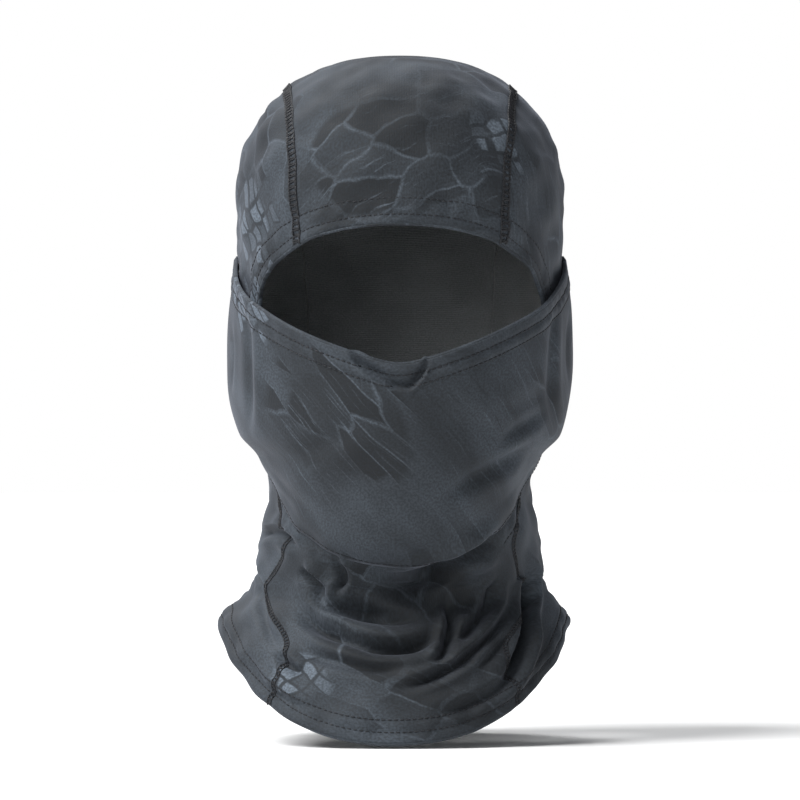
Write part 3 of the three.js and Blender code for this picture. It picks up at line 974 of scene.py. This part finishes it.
def small_scales(node, ground, warped):
    """Small pale hexagons with dark outlines."""
    edge, luck, tint = cells(node, stretched(node, warped, 105.0, 150.0), 0.4)
    dye = mixed(node, smooth_range(node, tint, 0.3, 0.8), *SCALE_DYES)
    patch = patch_of(node, "small_cells", luck, 0.6, 0.6, 0.75)
    inside = smooth_range(node, edge, 0.08, 0.16, 0.0, 0.85)
    filled = mixed(node, product(node, patch, inside), ground, dye)
    rim = smooth_range(node, edge, 0.03, 0.1, 0.7, 0.0)
    return mixed(node, product(node, patch, rim), filled, SCALE_RIM_DYE)


def feathery_hair(node, ground, warped):
    """Pale and dark streaks, drawn out along the print."""
    hair = noise(node, stretched(node, warped, 34.0, 330.0), 1.0, 6.0, Roughness=0.66).outputs[0]
    amount = product(node, attribute(node, "streaks", "Fac"), 0.75)
    pale = product(node, smooth_range(node, hair, 0.56, 0.7), amount)
    dark = product(node, smooth_range(node, hair, 0.32, 0.45, 1.0, 0.0), amount)
    return mixed(node, dark, mixed(node, pale, ground, PALE_HAIR_DYE), DARK_HAIR_DYE)


# %% Printed knit
def printed_knit():
    material, shader, node, links = new_material("printed_knit")
    place_on_print = attribute(node, "print_place")
    wander = noise(node, place_on_print, 34.0, 2.0).outputs["Color"]
    centred = vector_node(node, "SUBTRACT", wander, (0.5, 0.5, 0.5))
    warped = vector_node(
        node, "ADD", place_on_print, vector_node(node, "SCALE", centred, 0.016, socket="Scale")
    )
    clouds = noise(node, place_on_print, 20.0, 4.0).outputs[0]
    dyed = mixed(node, smooth_range(node, clouds, 0.36, 0.64), *GROUND_DYES)
    dyed = long_cells(node, dyed, warped, clouds)
    dyed = small_scales(node, dyed, warped)
    dyed = feathery_hair(node, dyed, warped)
    # broad darker clouds of the print, and painted shade under the chin and down the right side
    dyed = mixed(node, product(node, attribute(node, "dark_clouds", "Fac"), 0.6), dyed, CLOUD_AND_SHADE_DYE)

    # heathered speckle and the rib of the knit
    knit = attribute(node, "knit_place")
    speckle = noise(node, knit, 900.0, 3.0).outputs[0]
    bright = smooth_range(node, speckle, 0.32, 0.68, 0.66, 1.34)
    brightness = node("ShaderNodeCombineColor", {0: bright, 1: bright, 2: bright}).outputs[0]
    links.new(mixed(node, 1.0, dyed, brightness, "MULTIPLY"), shader.inputs["Base Color"])
    wales = ribs(node, knit, 260.0, 1.2, "X", **{"Detail Scale": 2.0})
    height = weighted(node, speckle, 0.7, wales, 0.1)
    links.new(bump(node, height, 0.55, 0.0004), shader.inputs["Normal"])
    links.new(smooth_range(node, speckle, 0.3, 0.7, 0.7, 0.86), shader.inputs["Roughness"])
    set_inputs(shader, Specular_IOR_Level=0.28, Sheen_Weight=0.1, Sheen_Roughness=0.45)
    set_inputs(shader, Sheen_Tint=(0.75, 0.82, 1.0, 1.0))
    return material


# %% [markdown]
# The inside of the cloth carries no print. It is the dark grey back of the dye, brushed a little
# softer, with the loops of the knit showing as a finer, more even grain. Its greys are set well
# lighter than that dark grey, as painted light for the dim inside of the hood.


# %% Brushed inside
# Greys of the inside: the back of the dye, made lighter as painted light for the dim inside of the hood.
INSIDE_GREYS_WITH_PAINTED_LIGHT = (0.13, 0.138, 0.142, 1), (0.19, 0.2, 0.205, 1)


def brushed_inside():
    material, shader, node, links = new_material("brushed_inside")
    knit = attribute(node, "knit_place")
    speckle = noise(node, knit, 1100.0, 3.0).outputs[0]
    clouds = noise(node, knit, 26.0, 3.0).outputs[0]
    tone = smooth_range(node, weighted(node, speckle, 0.6, clouds, 0.4), 0.35, 0.65)
    links.new(mixed(node, tone, *INSIDE_GREYS_WITH_PAINTED_LIGHT), shader.inputs["Base Color"])
    loops = ribs(node, knit, 300.0, 2.0, "Y")
    height = weighted(node, speckle, 0.6, loops, 0.4)
    links.new(bump(node, height, 0.6, 0.0004), shader.inputs["Normal"])
    set_inputs(shader, Roughness=0.92, Specular_IOR_Level=0.2, Sheen_Weight=0.25, Sheen_Roughness=0.6)
    return material


# %% [markdown]
# The thread is black spun polyester. It has a twist, so a wave texture runs slantwise round it,
# and it is a little glossier than the cloth.


# %% Black thread
THREAD_DYES = (0.004, 0.0045, 0.006, 1), (0.018, 0.020, 0.026, 1)


def black_thread():
    material, shader, node, links = new_material("black_thread")
    coordinates = node("ShaderNodeTexCoord").outputs["Object"]
    twist = ribs(node, coordinates, 900.0, 1.5, "DIAGONAL")
    fluff = noise(node, coordinates, 700.0, 2.0).outputs[0]
    links.new(mixed(node, product(node, twist, fluff), *THREAD_DYES), shader.inputs["Base Color"])
    links.new(bump(node, twist, 0.5, 0.0002), shader.inputs["Normal"])
    set_inputs(shader, Roughness=0.6, Specular_IOR_Level=0.35)
    return material


KNIT, INSIDE, THREAD = printed_knit(), brushed_inside(), black_thread()
print("materials:", KNIT.name, INSIDE.name, THREAD.name)

# %% Sew the hood's panels
made = {}
for name, (mask, node_name) in HOOD_PANELS.items():
    faces, points, at = sub_mesh(triangles[mask], points_mm, place)
    flat = flat_on_hood(at[:, 0], at[:, 1], points, name)
    panel = mesh_object(name, points, faces, (KNIT, INSIDE), cloth_print(name, flat, points))
    join_doubles(panel)
    apply_modifier(panel, "SOLIDIFY", thickness=FABRIC * MM, offset=-1, material_offset=1)
    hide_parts(node_name)
    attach(panel, "hood")
    made[name] = panel
    print(name, len(panel.data.polygons), "faces")


# %% [markdown]
# The mask is a second layer, sewn to the hood under the chin and behind the ears, and free along
# its top edge. It stands off the hood by its own thickness and a little ease, bulges over the
# cheeks, and reaches out over the nose. Two numbers give a place on it: across, from -1 at the
# right ear to 1 at the left, and up, from 0 at the seam to 1 at the free edge.

# %% The mask's driving sizes
MASK_NOSE, MASK_EAR = -29, 27
NOSE_BLUNT = 0.04
CHIN_LAP = 2
SEWN_HEIGHT, FREE_HEIGHT = 1.25, 4.4
SEWN_WIDTH = 13
EAR_HEIGHT = 2.5
CHEEK_BULGE, CHEEK_LOW = 7.5, 0.6
JAW_STEP, JAW_FOLD, JAW_TURN = 0.75, (-73, -62), (0.6, 1.0)
NOSE_REACH = 11
MASK_HEM, MASK_ROWS = 13, (5.4, 11.2)
MASK_RADIUS = 85
ROW_AT_EAR = 0.955
EAR_HELD = 0.045  # the share of the mask's half width that the ear seam holds down
SNUG_FROM, SNUG_TO = 0.9, 1.45  # the turn over which the mask comes closer to the head
FOLLOWS_HOOD = (2, 16)  # above its sewn edge the mask lets go of the hood's folds over this height


def mask_span(across):
    """Height of the sewn edge and of the free edge."""
    bottom = seam_height(across * MASK_END) - CHIN_LAP
    return bottom, MASK_NOSE + (MASK_EAR - MASK_NOSE) * np.hypot(across, NOSE_BLUNT)


def mask_shape(across, up):
    """The mask without folds."""
    across, up = paired(across, up)
    theta = across * MASK_END
    bottom, top = mask_span(across)
    z = bottom + (top - bottom) * up
    rise = 1 + (z - COLLAR[0]) / HEAD_HEIGHT
    from_ear = np.clip((1 - np.abs(across)) / EAR_HELD, 0, 1)
    from_seam = np.clip((z - bottom) / SEWN_WIDTH, 0, 1)
    free = soft_step(np.minimum(from_ear, from_seam), 0, 1)
    snug = soft_step(np.abs(theta), SNUG_FROM, SNUG_TO)
    loose = FREE_HEIGHT + (EAR_HEIGHT - FREE_HEIGHT) * snug
    height = SEWN_HEIGHT + (loose - SEWN_HEIGHT) * free
    towards_nose = np.clip(np.cos(theta), 0, 1) ** 2
    slack = np.sin(np.clip(up, 0, 1) ** CHEEK_LOW * np.pi)
    drawn_in = JAW_STEP * (1 - soft_step(z, *JAW_FOLD)) * soft_step(np.abs(theta), *JAW_TURN)
    slack = slack * (1 - drawn_in)
    bulge = CHEEK_BULGE * slack * (1 - towards_nose) * from_ear
    nose = NOSE_REACH * (1 - (1 - up) ** 2) * towards_nose
    outward = np.stack([np.sin(theta), -np.cos(theta), np.zeros_like(theta)], axis=-1)
    near_seam = (1 - soft_step(z - bottom, *FOLLOWS_HOOD))[..., None]
    under = skin(theta, rise)
    base = under + (cloth(theta, rise) - under) * near_seam
    return base + outward * (height + bulge + nose)[..., None]


print("free edge at the nose:", mask_shape(0.0, 1.0).round(1))

# %% [markdown]
# Over the nose the band of the free edge is too long for the V it has to make, so its upper part
# folds inwards and leaves a small shaded triangle. The rest of the mask is pulled tight between
# the ears and the chin, with a few long soft folds where it turns round the cheeks.

# %% The mask's folds
NOSE_PLEAT = np.array([(-21, -24), (-12, -31.5), (-2, -38.6), (4, -38.8), (8, -34), (11, -28)], float)
PLEAT_DEPTH, PLEAT_RETURN, PLEAT_REACH = 4.2, 3.5, 8.5
MASK_FOLDS = [
    # points (degrees from the nose, height), depth, width
    ([(-72, 8), (-60, -8), (-57, -26), (-59, -48), (-66, -62)], 2.2, 4.5),
    ([(68, 8), (60, -8), (58, -26), (60, -46), (68, -60)], 2.2, 4.5),
    ([(84, 2), (78, -18), (80, -40)], 1.2, 4.0),
    ([(-82, -6), (-76, -24), (-79, -44)], 1.2, 4.0),
    ([(54, -65), (40, -74), (26, -83), (12, -95)], 3.4, 4.4),
    ([(58, -50), (44, -57), (32, -67)], 2.2, 3.6),
    ([(4, -44), (20, -56), (34, -60), (50, -56)], 1.0, 7.0),
    ([(-6, -48), (-22, -64), (-42, -74), (-60, -74)], 1.6, 6.0),
    ([(10, -118), (30, -104), (52, -90), (72, -76)], 1.0, 5.0),
    ([(-10, -118), (-30, -104), (-52, -88), (-72, -74)], 1.1, 5.0),
    ([(-34, -112), (-52, -96), (-70, -82)], 0.8, 3.5),
    ([(26, -50), (44, -46), (62, -36)], 0.7, 5.0),
]
MASK_WAVES = [
    # waves round and up, per millimetre, phase, height
    (0.11, 0.07, 0, 0.35),
    (0.05, -0.13, 2, 0.3),
]
MASK_LIP = (0.5, 1.7, 1.2)
MASK_FADE = 0.35
MASK_PUCKER = 0.22
CALM_SEAM, CALM_EAR = 8, 0.06  # no folds this near the chin seam and the ear seams
PLEAT_LIP = (0.8, -1.4, 1.4)
PLEAT_EDGE = (-0.6, 1.0)
PLEAT_ENDS = (-21, -17), (8, 14)
MASK_LINES = [
    (smooth_line([(math.radians(degrees) * MASK_RADIUS, z) for degrees, z in points]), depth, width)
    for points, depth, width in MASK_FOLDS
]


def flat_on_mask(across, up):
    bottom, top = mask_span(across)
    return np.stack([across * MASK_END * MASK_RADIUS, bottom + (top - bottom) * up], axis=-1)


def mask_relief(across, up):
    """Height of folds, hem band and nose pleat over the mask's plain shape."""
    bottom, top = mask_span(across)
    places = flat_on_mask(across, up)
    z = places[..., 1]
    relief = sum(
        height * np.sin(places[..., 0] * a + places[..., 1] * b + phase)
        for a, b, phase, height in MASK_WAVES
    )
    for line, depth, width in MASK_LINES:
        signed, along = line_distance(places, line)
        q = signed / width
        ends = soft_step(along, 0, MASK_FADE) * (1 - soft_step(along, 1 - MASK_FADE, 1))
        relief = relief + depth * ends * (lip(q, *MASK_LIP) - lip(q, 1, 0, 1))
    calm = soft_step(z - bottom, 0, CALM_SEAM) * soft_step(1 - np.abs(across), 0, CALM_EAR)
    relief = relief * calm
    round_ = places[..., 0]
    pucker = MASK_PUCKER * np.sin(round_ * 0.7 + 1.5 * np.sin(round_ * 0.13))
    relief = relief + band_relief(top - z, MASK_HEM, MASK_ROWS, pucker)
    crease = np.interp(round_, NOSE_PLEAT[:, 0], NOSE_PLEAT[:, 1], left=99, right=99)
    over = z - crease
    tucked = PLEAT_DEPTH * soft_step(over, *PLEAT_EDGE) - PLEAT_RETURN * soft_step(over, 1, PLEAT_REACH)
    right_end, left_end = PLEAT_ENDS
    ends = soft_step(round_, *right_end) * (1 - soft_step(round_, *left_end))
    return relief + (lip(over, *PLEAT_LIP) - tucked) * ends


def mask_cloth(across, up):
    across, up = paired(across, up)
    normal = normals_of(mask_shape, across, up)
    return mask_shape(across, up) + normal * mask_relief(across, up)[..., None]


# %% Make the mask
MASK_ACROSS, MASK_UP = ((250, 104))
across, up = np.meshgrid(
    np.linspace(-1, 1, MASK_ACROSS + 1), np.linspace(0, 1, MASK_UP + 1) ** 0.9, indexing="ij"
)
i, j = np.meshgrid(np.arange(MASK_ACROSS), np.arange(MASK_UP), indexing="ij")
corner = (i * (MASK_UP + 1) + j).ravel()
mask_faces = np.stack([corner, corner + MASK_UP + 1, corner + MASK_UP + 2, corner + 1], axis=-1)
mask_points = mask_cloth(across, up).reshape(-1, 3)
mask_flat = flat_on_mask(across, up).reshape(-1, 2)
mask_piece = mesh_object(
    "mask_cloth", mask_points, mask_faces, (KNIT, INSIDE), cloth_print("mask_cloth", mask_flat, mask_points)
)
apply_modifier(mask_piece, "SOLIDIFY", thickness=FABRIC * MM, offset=-1, material_offset=1)
print("mask:", len(mask_piece.data.polygons), "faces")

# %% [markdown]
# Each hem is one strip: it rolls over the free edge in a small round fold and lies flat behind
# the panel. The printed side faces out all the way round, so the strip shows print on the inside
# too. Its outline is two chains of points, the printed side and the plain side, a millimetre
# apart, carried along the edge.

# %% The outline of a turned hem: distance from the edge, height
LAP_GAP = 0.3


def hem_outline(width):
    outer_radius = FABRIC + LAP_GAP / 2
    inner_radius = LAP_GAP / 2
    turns = np.linspace(0, np.pi, 9)
    outer, inner = [], []
    for turn in turns:
        for chain, radius in ((outer, outer_radius), (inner, inner_radius)):
            chain.append((-radius * math.sin(turn), -outer_radius + radius * math.cos(turn)))
    for distance in np.linspace(0, width, 7)[1:]:
        outer.append((distance, -2 * outer_radius))
        inner.append((distance, -outer_radius - inner_radius))
    return np.array(outer), np.array(inner)


def hem_object(name, rings_at, width, closed, placed):
    """rings_at(distances) gives points and normals, one row for each distance from the edge."""
    outer, inner = hem_outline(width)
    outline = np.concatenate([outer, inner[::-1]])
    points, normals = rings_at(outline[:, 0])
    points = points + normals * outline[:, 1][:, None, None]
    around, count = points.shape[:2]
    number = np.arange(around * count).reshape(around, count)
    nxt = np.roll(number, -1, axis=1) if closed else number[:, 1:]
    own = number if closed else number[:, :-1]
    below = np.roll(own, -1, axis=0)
    below_next = np.roll(nxt, -1, axis=0)
    faces = np.stack([own, below, below_next, nxt], axis=-1).reshape(-1, 4)
    if not closed:
        half = around // 2
        caps = []
        for column, flip in ((0, False), (count - 1, True)):
            ring = number[:, column]
            for k in range(half - 1):
                face = [ring[k], ring[k + 1], ring[around - 2 - k], ring[around - 1 - k]]
                caps.append(face[::-1] if flip else face)
        faces = np.concatenate([faces, np.array(caps)])
    flat = points.reshape(-1, 3)
    obj = mesh_object(name, flat, faces, (KNIT,), placed(outline[:, 0], flat))
    with edited(obj) as shape:
        bmesh.ops.recalc_face_normals(shape, faces=shape.faces)
    return obj


# %% The three hems
def dot(a, b):
    return np.sum(a * b, axis=-1)


def walk_in(theta, rise, distance, surface, steps=4, h=1e-3):
    """Steps from an edge into the cloth, square to the edge, by a distance in millimetres."""
    theta, rise = theta.copy(), rise.copy()
    for _ in range(steps):
        by_theta = (surface(theta + h, rise) - surface(theta - h, rise)) / (2 * h)
        by_rise = (surface(theta, rise + h) - surface(theta, rise - h)) / (2 * h)
        point = surface(theta, rise)
        inward = unit(np.cross(np.gradient(point, axis=0), np.cross(by_theta, by_rise)))
        target = inward * distance / steps
        aa, ab, bb = dot(by_theta, by_theta), dot(by_theta, by_rise), dot(by_rise, by_rise)
        ta, tb = dot(target, by_theta), dot(target, by_rise)
        det = aa * bb - ab * ab
        theta += (ta * bb - tb * ab) / det
        rise += (tb * aa - ta * ab) / det
    return theta, rise


EDGE_POINTS = 520
turn = np.linspace(-np.pi / 2 + 0.02, 3 * np.pi / 2 - 0.02, 4000)
edge_theta, edge_rise = face_edge(turn)
above_seam = skin(edge_theta, edge_rise)[:, 2] > seam_height(edge_theta) + 1.5
edge_length = running_length(skin(edge_theta, edge_rise)[above_seam])
even = np.linspace(0, edge_length[-1], EDGE_POINTS)
edge_theta = np.interp(even, edge_length, edge_theta[above_seam])
edge_rise = np.interp(even, edge_length, edge_rise[above_seam])
outward_check = walk_in(edge_theta, edge_rise, 5.0, skin)
FACE_SIGN = 1.0 if np.mean(face_side(*outward_check)) > 0 else -1.0


def face_rings(distances):
    points, normals = [], []
    for distance in distances:
        theta, rise = walk_in(edge_theta, edge_rise, FACE_SIGN * distance, skin)
        points.append(worn(theta, rise))
        normals.append(normals_of(worn, theta, rise))
    return np.array(points), np.array(normals)


def neck_rings(distances):
    theta = np.linspace(-np.pi, np.pi, AROUND, endpoint=False)
    rise = np.array(distances)[:, None] / flare_length(theta)
    theta = np.broadcast_to(theta, rise.shape)
    return worn(theta, rise), normals_of(worn, theta, rise)


def mask_height(across):
    bottom, top = mask_span(across)
    return top - bottom


def mask_rings(distances):
    across = np.linspace(-ROW_AT_EAR, ROW_AT_EAR, EDGE_POINTS)
    up = 1 - np.array(distances)[:, None] / mask_height(across)
    across = np.broadcast_to(across, up.shape)
    return mask_cloth(across, up), normals_of(mask_cloth, across, up)


BAND_LENGTH = 480


def band_print(panel):
    """The print on a hem: the same cloth as its panel, carried on past the edge."""

    def placed(distances, points):
        count = len(points) // len(distances)
        along = np.tile(np.linspace(0, 1, count) * BAND_LENGTH, len(distances))
        flat = np.stack([along, np.repeat(distances, count)], axis=1)
        return cloth_print(panel, flat, points)

    return placed


face_hem = hem_object("face_hem_band", face_rings, FACE_HEM, False, band_print("crown_cloth"))
neck_hem = hem_object("neck_hem_band", neck_rings, NECK_HEM, True, band_print("neck_front_cloth"))
mask_hem = hem_object("mask_hem_band", mask_rings, MASK_HEM, False, band_print("mask_cloth"))
for hem in (face_hem, neck_hem, mask_hem):
    print(hem.name, len(hem.data.polygons), "faces")


# %% [markdown]
# All the thread is black and every stitch is alike, so one stitch is modelled once and copied.
# It starts as a six-sided rod. Its two ends are extruded outwards and down, and drawn in, because
# the thread dives into the cloth there. A seam of this kind is flat: two chains of stitches run
# along it and pairs of short threads cross between them, which looks like a small ladder.


# %% One stitch
ROD = {"vertices": 6, "radius": 0.5, "depth": 0.64}
DIVE, DRAWN_IN = (0.18, -0.45), 0.55  # how far an end goes on and down, and how thin it gets


def model_stitch():
    """One stitch a unit long along X and a unit thick, as points and faces."""
    bpy.ops.object.select_all(action="DESELECT")
    bpy.ops.mesh.primitive_cylinder_add(**ROD, rotation=(0, math.pi / 2, 0))
    rod = bpy.context.object
    bpy.ops.object.transform_apply(location=True, rotation=True, scale=True)
    for side in (-1, 1):
        bpy.ops.object.mode_set(mode="EDIT")
        bpy.ops.mesh.select_mode(type="FACE")
        bpy.ops.mesh.select_all(action="DESELECT")
        bpy.ops.object.mode_set(mode="OBJECT")
        for polygon in rod.data.polygons:
            polygon.select = polygon.normal.x * side > 0.9
        bpy.ops.object.mode_set(mode="EDIT")
        bpy.ops.mesh.extrude_region_move(TRANSFORM_OT_translate={"value": (DIVE[0] * side, 0, DIVE[1])})
        bpy.ops.transform.resize(value=(1, DRAWN_IN, DRAWN_IN))
        bpy.ops.object.mode_set(mode="OBJECT")
    points = np.array([vertex.co[:] for vertex in rod.data.vertices])
    faces = [list(polygon.vertices) for polygon in rod.data.polygons]
    bpy.data.objects.remove(rod)
    return points, faces


STITCH_POINTS, STITCH_FACES = model_stitch()
print("one stitch:", len(STITCH_POINTS), "points,", len(STITCH_FACES), "faces")


# %% Places along a sewn line
def along_line(a, b, surface, pitch):
    """Even places on a line of a surface: points, directions along it, sideways and outwards."""
    length = running_length(surface(a, b))
    count = max(2, int(length[-1] // pitch))
    at = (np.arange(count) + 0.5) * length[-1] / count
    a, b = np.interp(at, length, a), np.interp(at, length, b)
    point, normal = surface(a, b), normals_of(surface, a, b)
    along = np.gradient(point, axis=0)
    along = unit(along - normal * np.sum(along * normal, axis=-1, keepdims=True))
    return point, along, np.cross(normal, along), normal


def copies(centre, x_axis, z_axis, length, thick):
    """A copy of the stitch at each place, lying along x_axis."""
    y_axis = np.cross(z_axis, x_axis)
    x, y, z = STITCH_POINTS.T
    return (
        centre[:, None]
        + x[:, None] * x_axis[:, None] * length
        + y[:, None] * y_axis[:, None] * thick
        + z[:, None] * z_axis[:, None] * thick
    )


def thread_object(name, groups):
    points = np.concatenate([group.reshape(-1, 3) for group in groups])
    count = len(points) // len(STITCH_POINTS)
    faces = [
        [index + copy * len(STITCH_POINTS) for index in face]
        for copy in range(count)
        for face in STITCH_FACES
    ]
    mesh = bpy.data.meshes.new(name)
    mesh.from_pydata((points * MM).tolist(), [], faces)
    mesh.materials.append(THREAD)
    mesh.shade_smooth()
    print(name, count, "stitches")
    return add_object(name, mesh)


ROW_PITCH, ROW_STITCH, ROW_THREAD = 3.0, 2.5, 0.62
ROW_HEIGHT = 0.12


def stitched_row(name, a, b, surface, stitch=ROW_STITCH, thread=ROW_THREAD):
    point, along, _, normal = along_line(a, b, surface, ROW_PITCH)
    return thread_object(name, [copies(point + normal * ROW_HEIGHT, along, normal, stitch, thread)])


RUNG_LEAN, RUNG_HEIGHT, CHAIN_PITCH = 0.1, 0.22, 2.4


def ladder_seam(name, a, b, surface, width, pitch=3.0, thread=0.95):
    """Two chains of stitches, with pairs of threads across them."""
    point, along, sideways, normal = along_line(a, b, surface, pitch)
    groups = []
    for lean in (-1, 1):
        across = unit(sideways + along * lean * RUNG_LEAN)
        middle = point + along * lean * thread * 0.45 + normal * RUNG_HEIGHT
        groups.append(copies(middle, across, normal, width + thread, thread))
    point, along, sideways, normal = along_line(a, b, surface, CHAIN_PITCH)
    for side in (-1, 1):
        middle = point + sideways * side * width / 2 + normal * RUNG_HEIGHT
        groups.append(copies(middle, along, normal, CHAIN_PITCH * 1.2, thread * 1.2))
    return thread_object(name, groups)


# %% [markdown]
# The seams of the hood lie exactly where two panels meet, so their lines are read back from the
# dense grid: the chain of edges that two panels share.


# %% Lines where two panels meet
def shared_line(first, second):
    """Places along the chain of edges that two panels share."""
    both = [set(map(tuple, edges_of(triangles[mask]).tolist())) for mask in (first, second)]
    neighbours = {}
    for a, b in both[0] & both[1]:
        neighbours.setdefault(a, []).append(b)
        neighbours.setdefault(b, []).append(a)
    best = []
    for start in [point for point, near in neighbours.items() if len(near) == 1]:
        chain, seen = [start], {start}
        while True:
            following = [point for point in neighbours[chain[-1]] if point not in seen]
            if not following:
                break
            chain.append(following[0])
            seen.add(following[0])
        best = max(best, chain, key=len)
    line = place[best]
    kernel = np.ones(5) / 5
    padded = np.concatenate([np.repeat(line[:1], 2, 0), line, np.repeat(line[-1:], 2, 0)])
    smooth = np.stack([np.convolve(padded[:, k], kernel, "valid") for k in (0, 1)], axis=1)
    smooth[[0, -1]] = line[[0, -1]]
    return smooth.T


# %% Sew the seams
CROWN_LADDER, NECK_LADDER, MASK_LADDER = 4.2, 2.2, 1.6
FINE_PITCH, NECK_THREAD, EAR_THREAD = 2.0, 0.5, 0.45
EAR_SEAM_AT = 0.982
CHIN_ROW, CHIN_THREAD = 1.6, 0.45
CHIN_REACH = 0.965
threads = {}
for side, mask, sign in (("left", left, 1), ("right", right, -1)):
    line = shared_line(crown, mask)
    threads[f"{side}_crown_seam"] = ladder_seam(f"{side}_crown_thread", *line, worn, CROWN_LADDER)
    line = shared_line(neck, mask)
    threads[f"{side}_neck_seam"] = ladder_seam(
        f"{side}_neck_thread", *line, worn, NECK_LADDER, FINE_PITCH, NECK_THREAD
    )
    up = np.linspace(0.02, 0.99, 200)
    across = np.full_like(up, sign * EAR_SEAM_AT)
    threads[f"{side}_ear_seam"] = ladder_seam(
        f"{side}_ear_thread", across, up, mask_cloth, MASK_LADDER, FINE_PITCH, EAR_THREAD
    )
across = np.linspace(-CHIN_REACH, CHIN_REACH, 600)
up = CHIN_ROW / mask_height(across)
threads["chin_seam"] = stitched_row("chin_thread", across, up, mask_cloth, ROW_STITCH, CHIN_THREAD)

# %% Sew the rows along the hems
for where, mask_row, face_row, neck_row in zip(
    ("outer", "inner"), MASK_ROWS, FACE_ROWS, NECK_ROWS, strict=True
):
    across = np.linspace(-ROW_AT_EAR, ROW_AT_EAR, 900)
    up = 1 - mask_row / mask_height(across)
    threads[f"mask_hem_{where}_stitching"] = stitched_row(f"mask_{where}_stitches", across, up, mask_cloth)
    theta, rise = walk_in(edge_theta, edge_rise, FACE_SIGN * face_row, skin)
    threads[f"face_hem_{where}_stitching"] = stitched_row(f"face_{where}_stitches", theta, rise, worn)
    theta = np.linspace(-np.pi, np.pi, 900)
    rise = neck_row / flare_length(theta)
    threads[f"neck_hem_{where}_stitching"] = stitched_row(f"neck_{where}_stitches", theta, rise, worn)


# %% [markdown]
# Now the pieces are sorted by the part of the moving model they belong to. The hood, its hems and
# its seam threads are attached to the hood and stay on the head. The mask pulls down, but here its
# cloth, its hem band and its hem rows only have their placement baked into their points.


def surface_area(obj):
    return sum(polygon.area for polygon in obj.data.polygons) / 2


def bounding(obj):
    corners = np.array([vertex.co[:] for vertex in obj.data.vertices])
    return (np.ptp(corners, axis=0) / MM).round(0).tolist()


MASK_ROW_THREADS = [threads[f"mask_hem_{where}_stitching"] for where in ("outer", "inner")]
MASK_PIECES = [mask_piece, mask_hem, *MASK_ROW_THREADS]
for piece in MASK_PIECES:
    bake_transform(piece)
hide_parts("mask_panel")
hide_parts("mask_top_hem")
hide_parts("face_opening_hem")
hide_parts("neck_hem")
for piece in (face_hem, neck_hem):
    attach(piece, "hood")
for node_name, piece in threads.items():
    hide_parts(node_name)
    if piece not in MASK_PIECES:
        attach(piece, "hood")

for piece in [*made.values(), mask_piece]:
    print(piece.name, "area", round(surface_area(piece) * 1e4), "cm2, box", bounding(piece))

# %% [markdown]
# Every panel is a sheet that was cut flat and then stretched over the head. The knit is cut about
# a tenth smaller than the area it covers when worn.

left_side, right_side = made["left_side_cloth"], made["right_side_cloth"]
crown_cloth, neck_front = made["crown_cloth"], made["neck_front_cloth"]
SHEETS = [
    # piece, cut width and length, cut area, sewn to, threads
    (crown_cloth, (0.108, 0.58), 0.05, [left_side, right_side], ["left_crown_seam", "right_crown_seam"]),
    (left_side, (0.19, 0.30), 0.0384, [crown_cloth], ["left_ear_seam"]),
    (right_side, (0.19, 0.30), 0.0384, [crown_cloth], ["right_ear_seam"]),
    (neck_front, (0.125, 0.135), 0.0156, [left_side, right_side], ["left_neck_seam", "right_neck_seam"]),
    (mask_piece, (0.275, 0.15), 0.0320, [left_side, right_side, neck_front], ["chin_seam"]),
]
for piece, flat_size, flat_area, sewn_to, sewn_with in SHEETS:
    print(piece.name, "worn to cut area:", round(surface_area(piece) / flat_area, 2))


# %% [markdown]
# The studio: a plain pale floor, a bright even surround, a soft lamp high on the upper left and a
# weaker one from the front, which reaches through the opening to the inside of the back.

# %% Floor, light and camera
floor_z = -0.2145
bpy.ops.object.select_all(action="DESELECT")
bpy.ops.mesh.primitive_circle_add(vertices=96, radius=6, fill_type="NGON", location=(0, 0, floor_z))
floor = bpy.context.object
floor.name = "studio_floor"
floor_material, floor_shader, _, _ = new_material("studio_paper")
set_inputs(floor_shader, Base_Color=(0.86, 0.86, 0.86, 1), Roughness=0.9)
floor.data.materials.append(floor_material)

world = bpy.data.worlds.new("studio")
world.use_nodes = True
bpy.context.scene.world = world
world_nodes, world_links = world.node_tree.nodes, world.node_tree.links
surround = world_nodes["Background"]
set_inputs(surround, Color=(0.93, 0.96, 1.0, 1), Strength=0.17)
paper = world_nodes.new("ShaderNodeBackground")
set_inputs(paper, Color=(1, 1, 1, 1))
seen = world_nodes.new("ShaderNodeLightPath")
choice = world_nodes.new("ShaderNodeMixShader")
world_links.new(seen.outputs["Is Camera Ray"], choice.inputs[0])
world_links.new(surround.outputs[0], choice.inputs[1])
world_links.new(paper.outputs[0], choice.inputs[2])
world_links.new(choice.outputs[0], world_nodes["World Output"].inputs["Surface"])


def soft_sun(name, direction, spread, strength):
    """A lamp so far away that the whole floor is lit alike. spread, in degrees, softens it."""
    light = bpy.data.lights.new(name, "SUN")
    light.angle, light.energy = math.radians(spread), strength
    lamp = add_object(name, light)
    lamp.rotation_euler = Vector(direction).to_track_quat("-Z", "Y").to_euler()


soft_sun("key", (0.58, 0.32, -0.80), 34, 5.0)
soft_sun("front", (0.22, 1.0, -0.2), 24, 0.75)
soft_sun("rim", (0.3, -0.6, -0.8), 30, 1.8)

AIM = Vector((0.0, 0.0, -0.045))
DISTANCE, WIDTH, SENSOR = 4.0, 0.4, 36
ELEVATION = math.radians(0.5)
camera = bpy.data.cameras.new("camera")
camera.sensor_width = SENSOR
camera.lens = SENSOR * DISTANCE / WIDTH
camera_object = add_object("camera", camera)
camera_object.location = AIM + DISTANCE * Vector((0, -math.cos(ELEVATION), math.sin(ELEVATION)))
camera_object.rotation_euler = (AIM - camera_object.location).to_track_quat("-Z", "Y").to_euler()
bpy.context.scene.camera = camera_object
bpy.context.scene.view_settings.view_transform = "Standard"
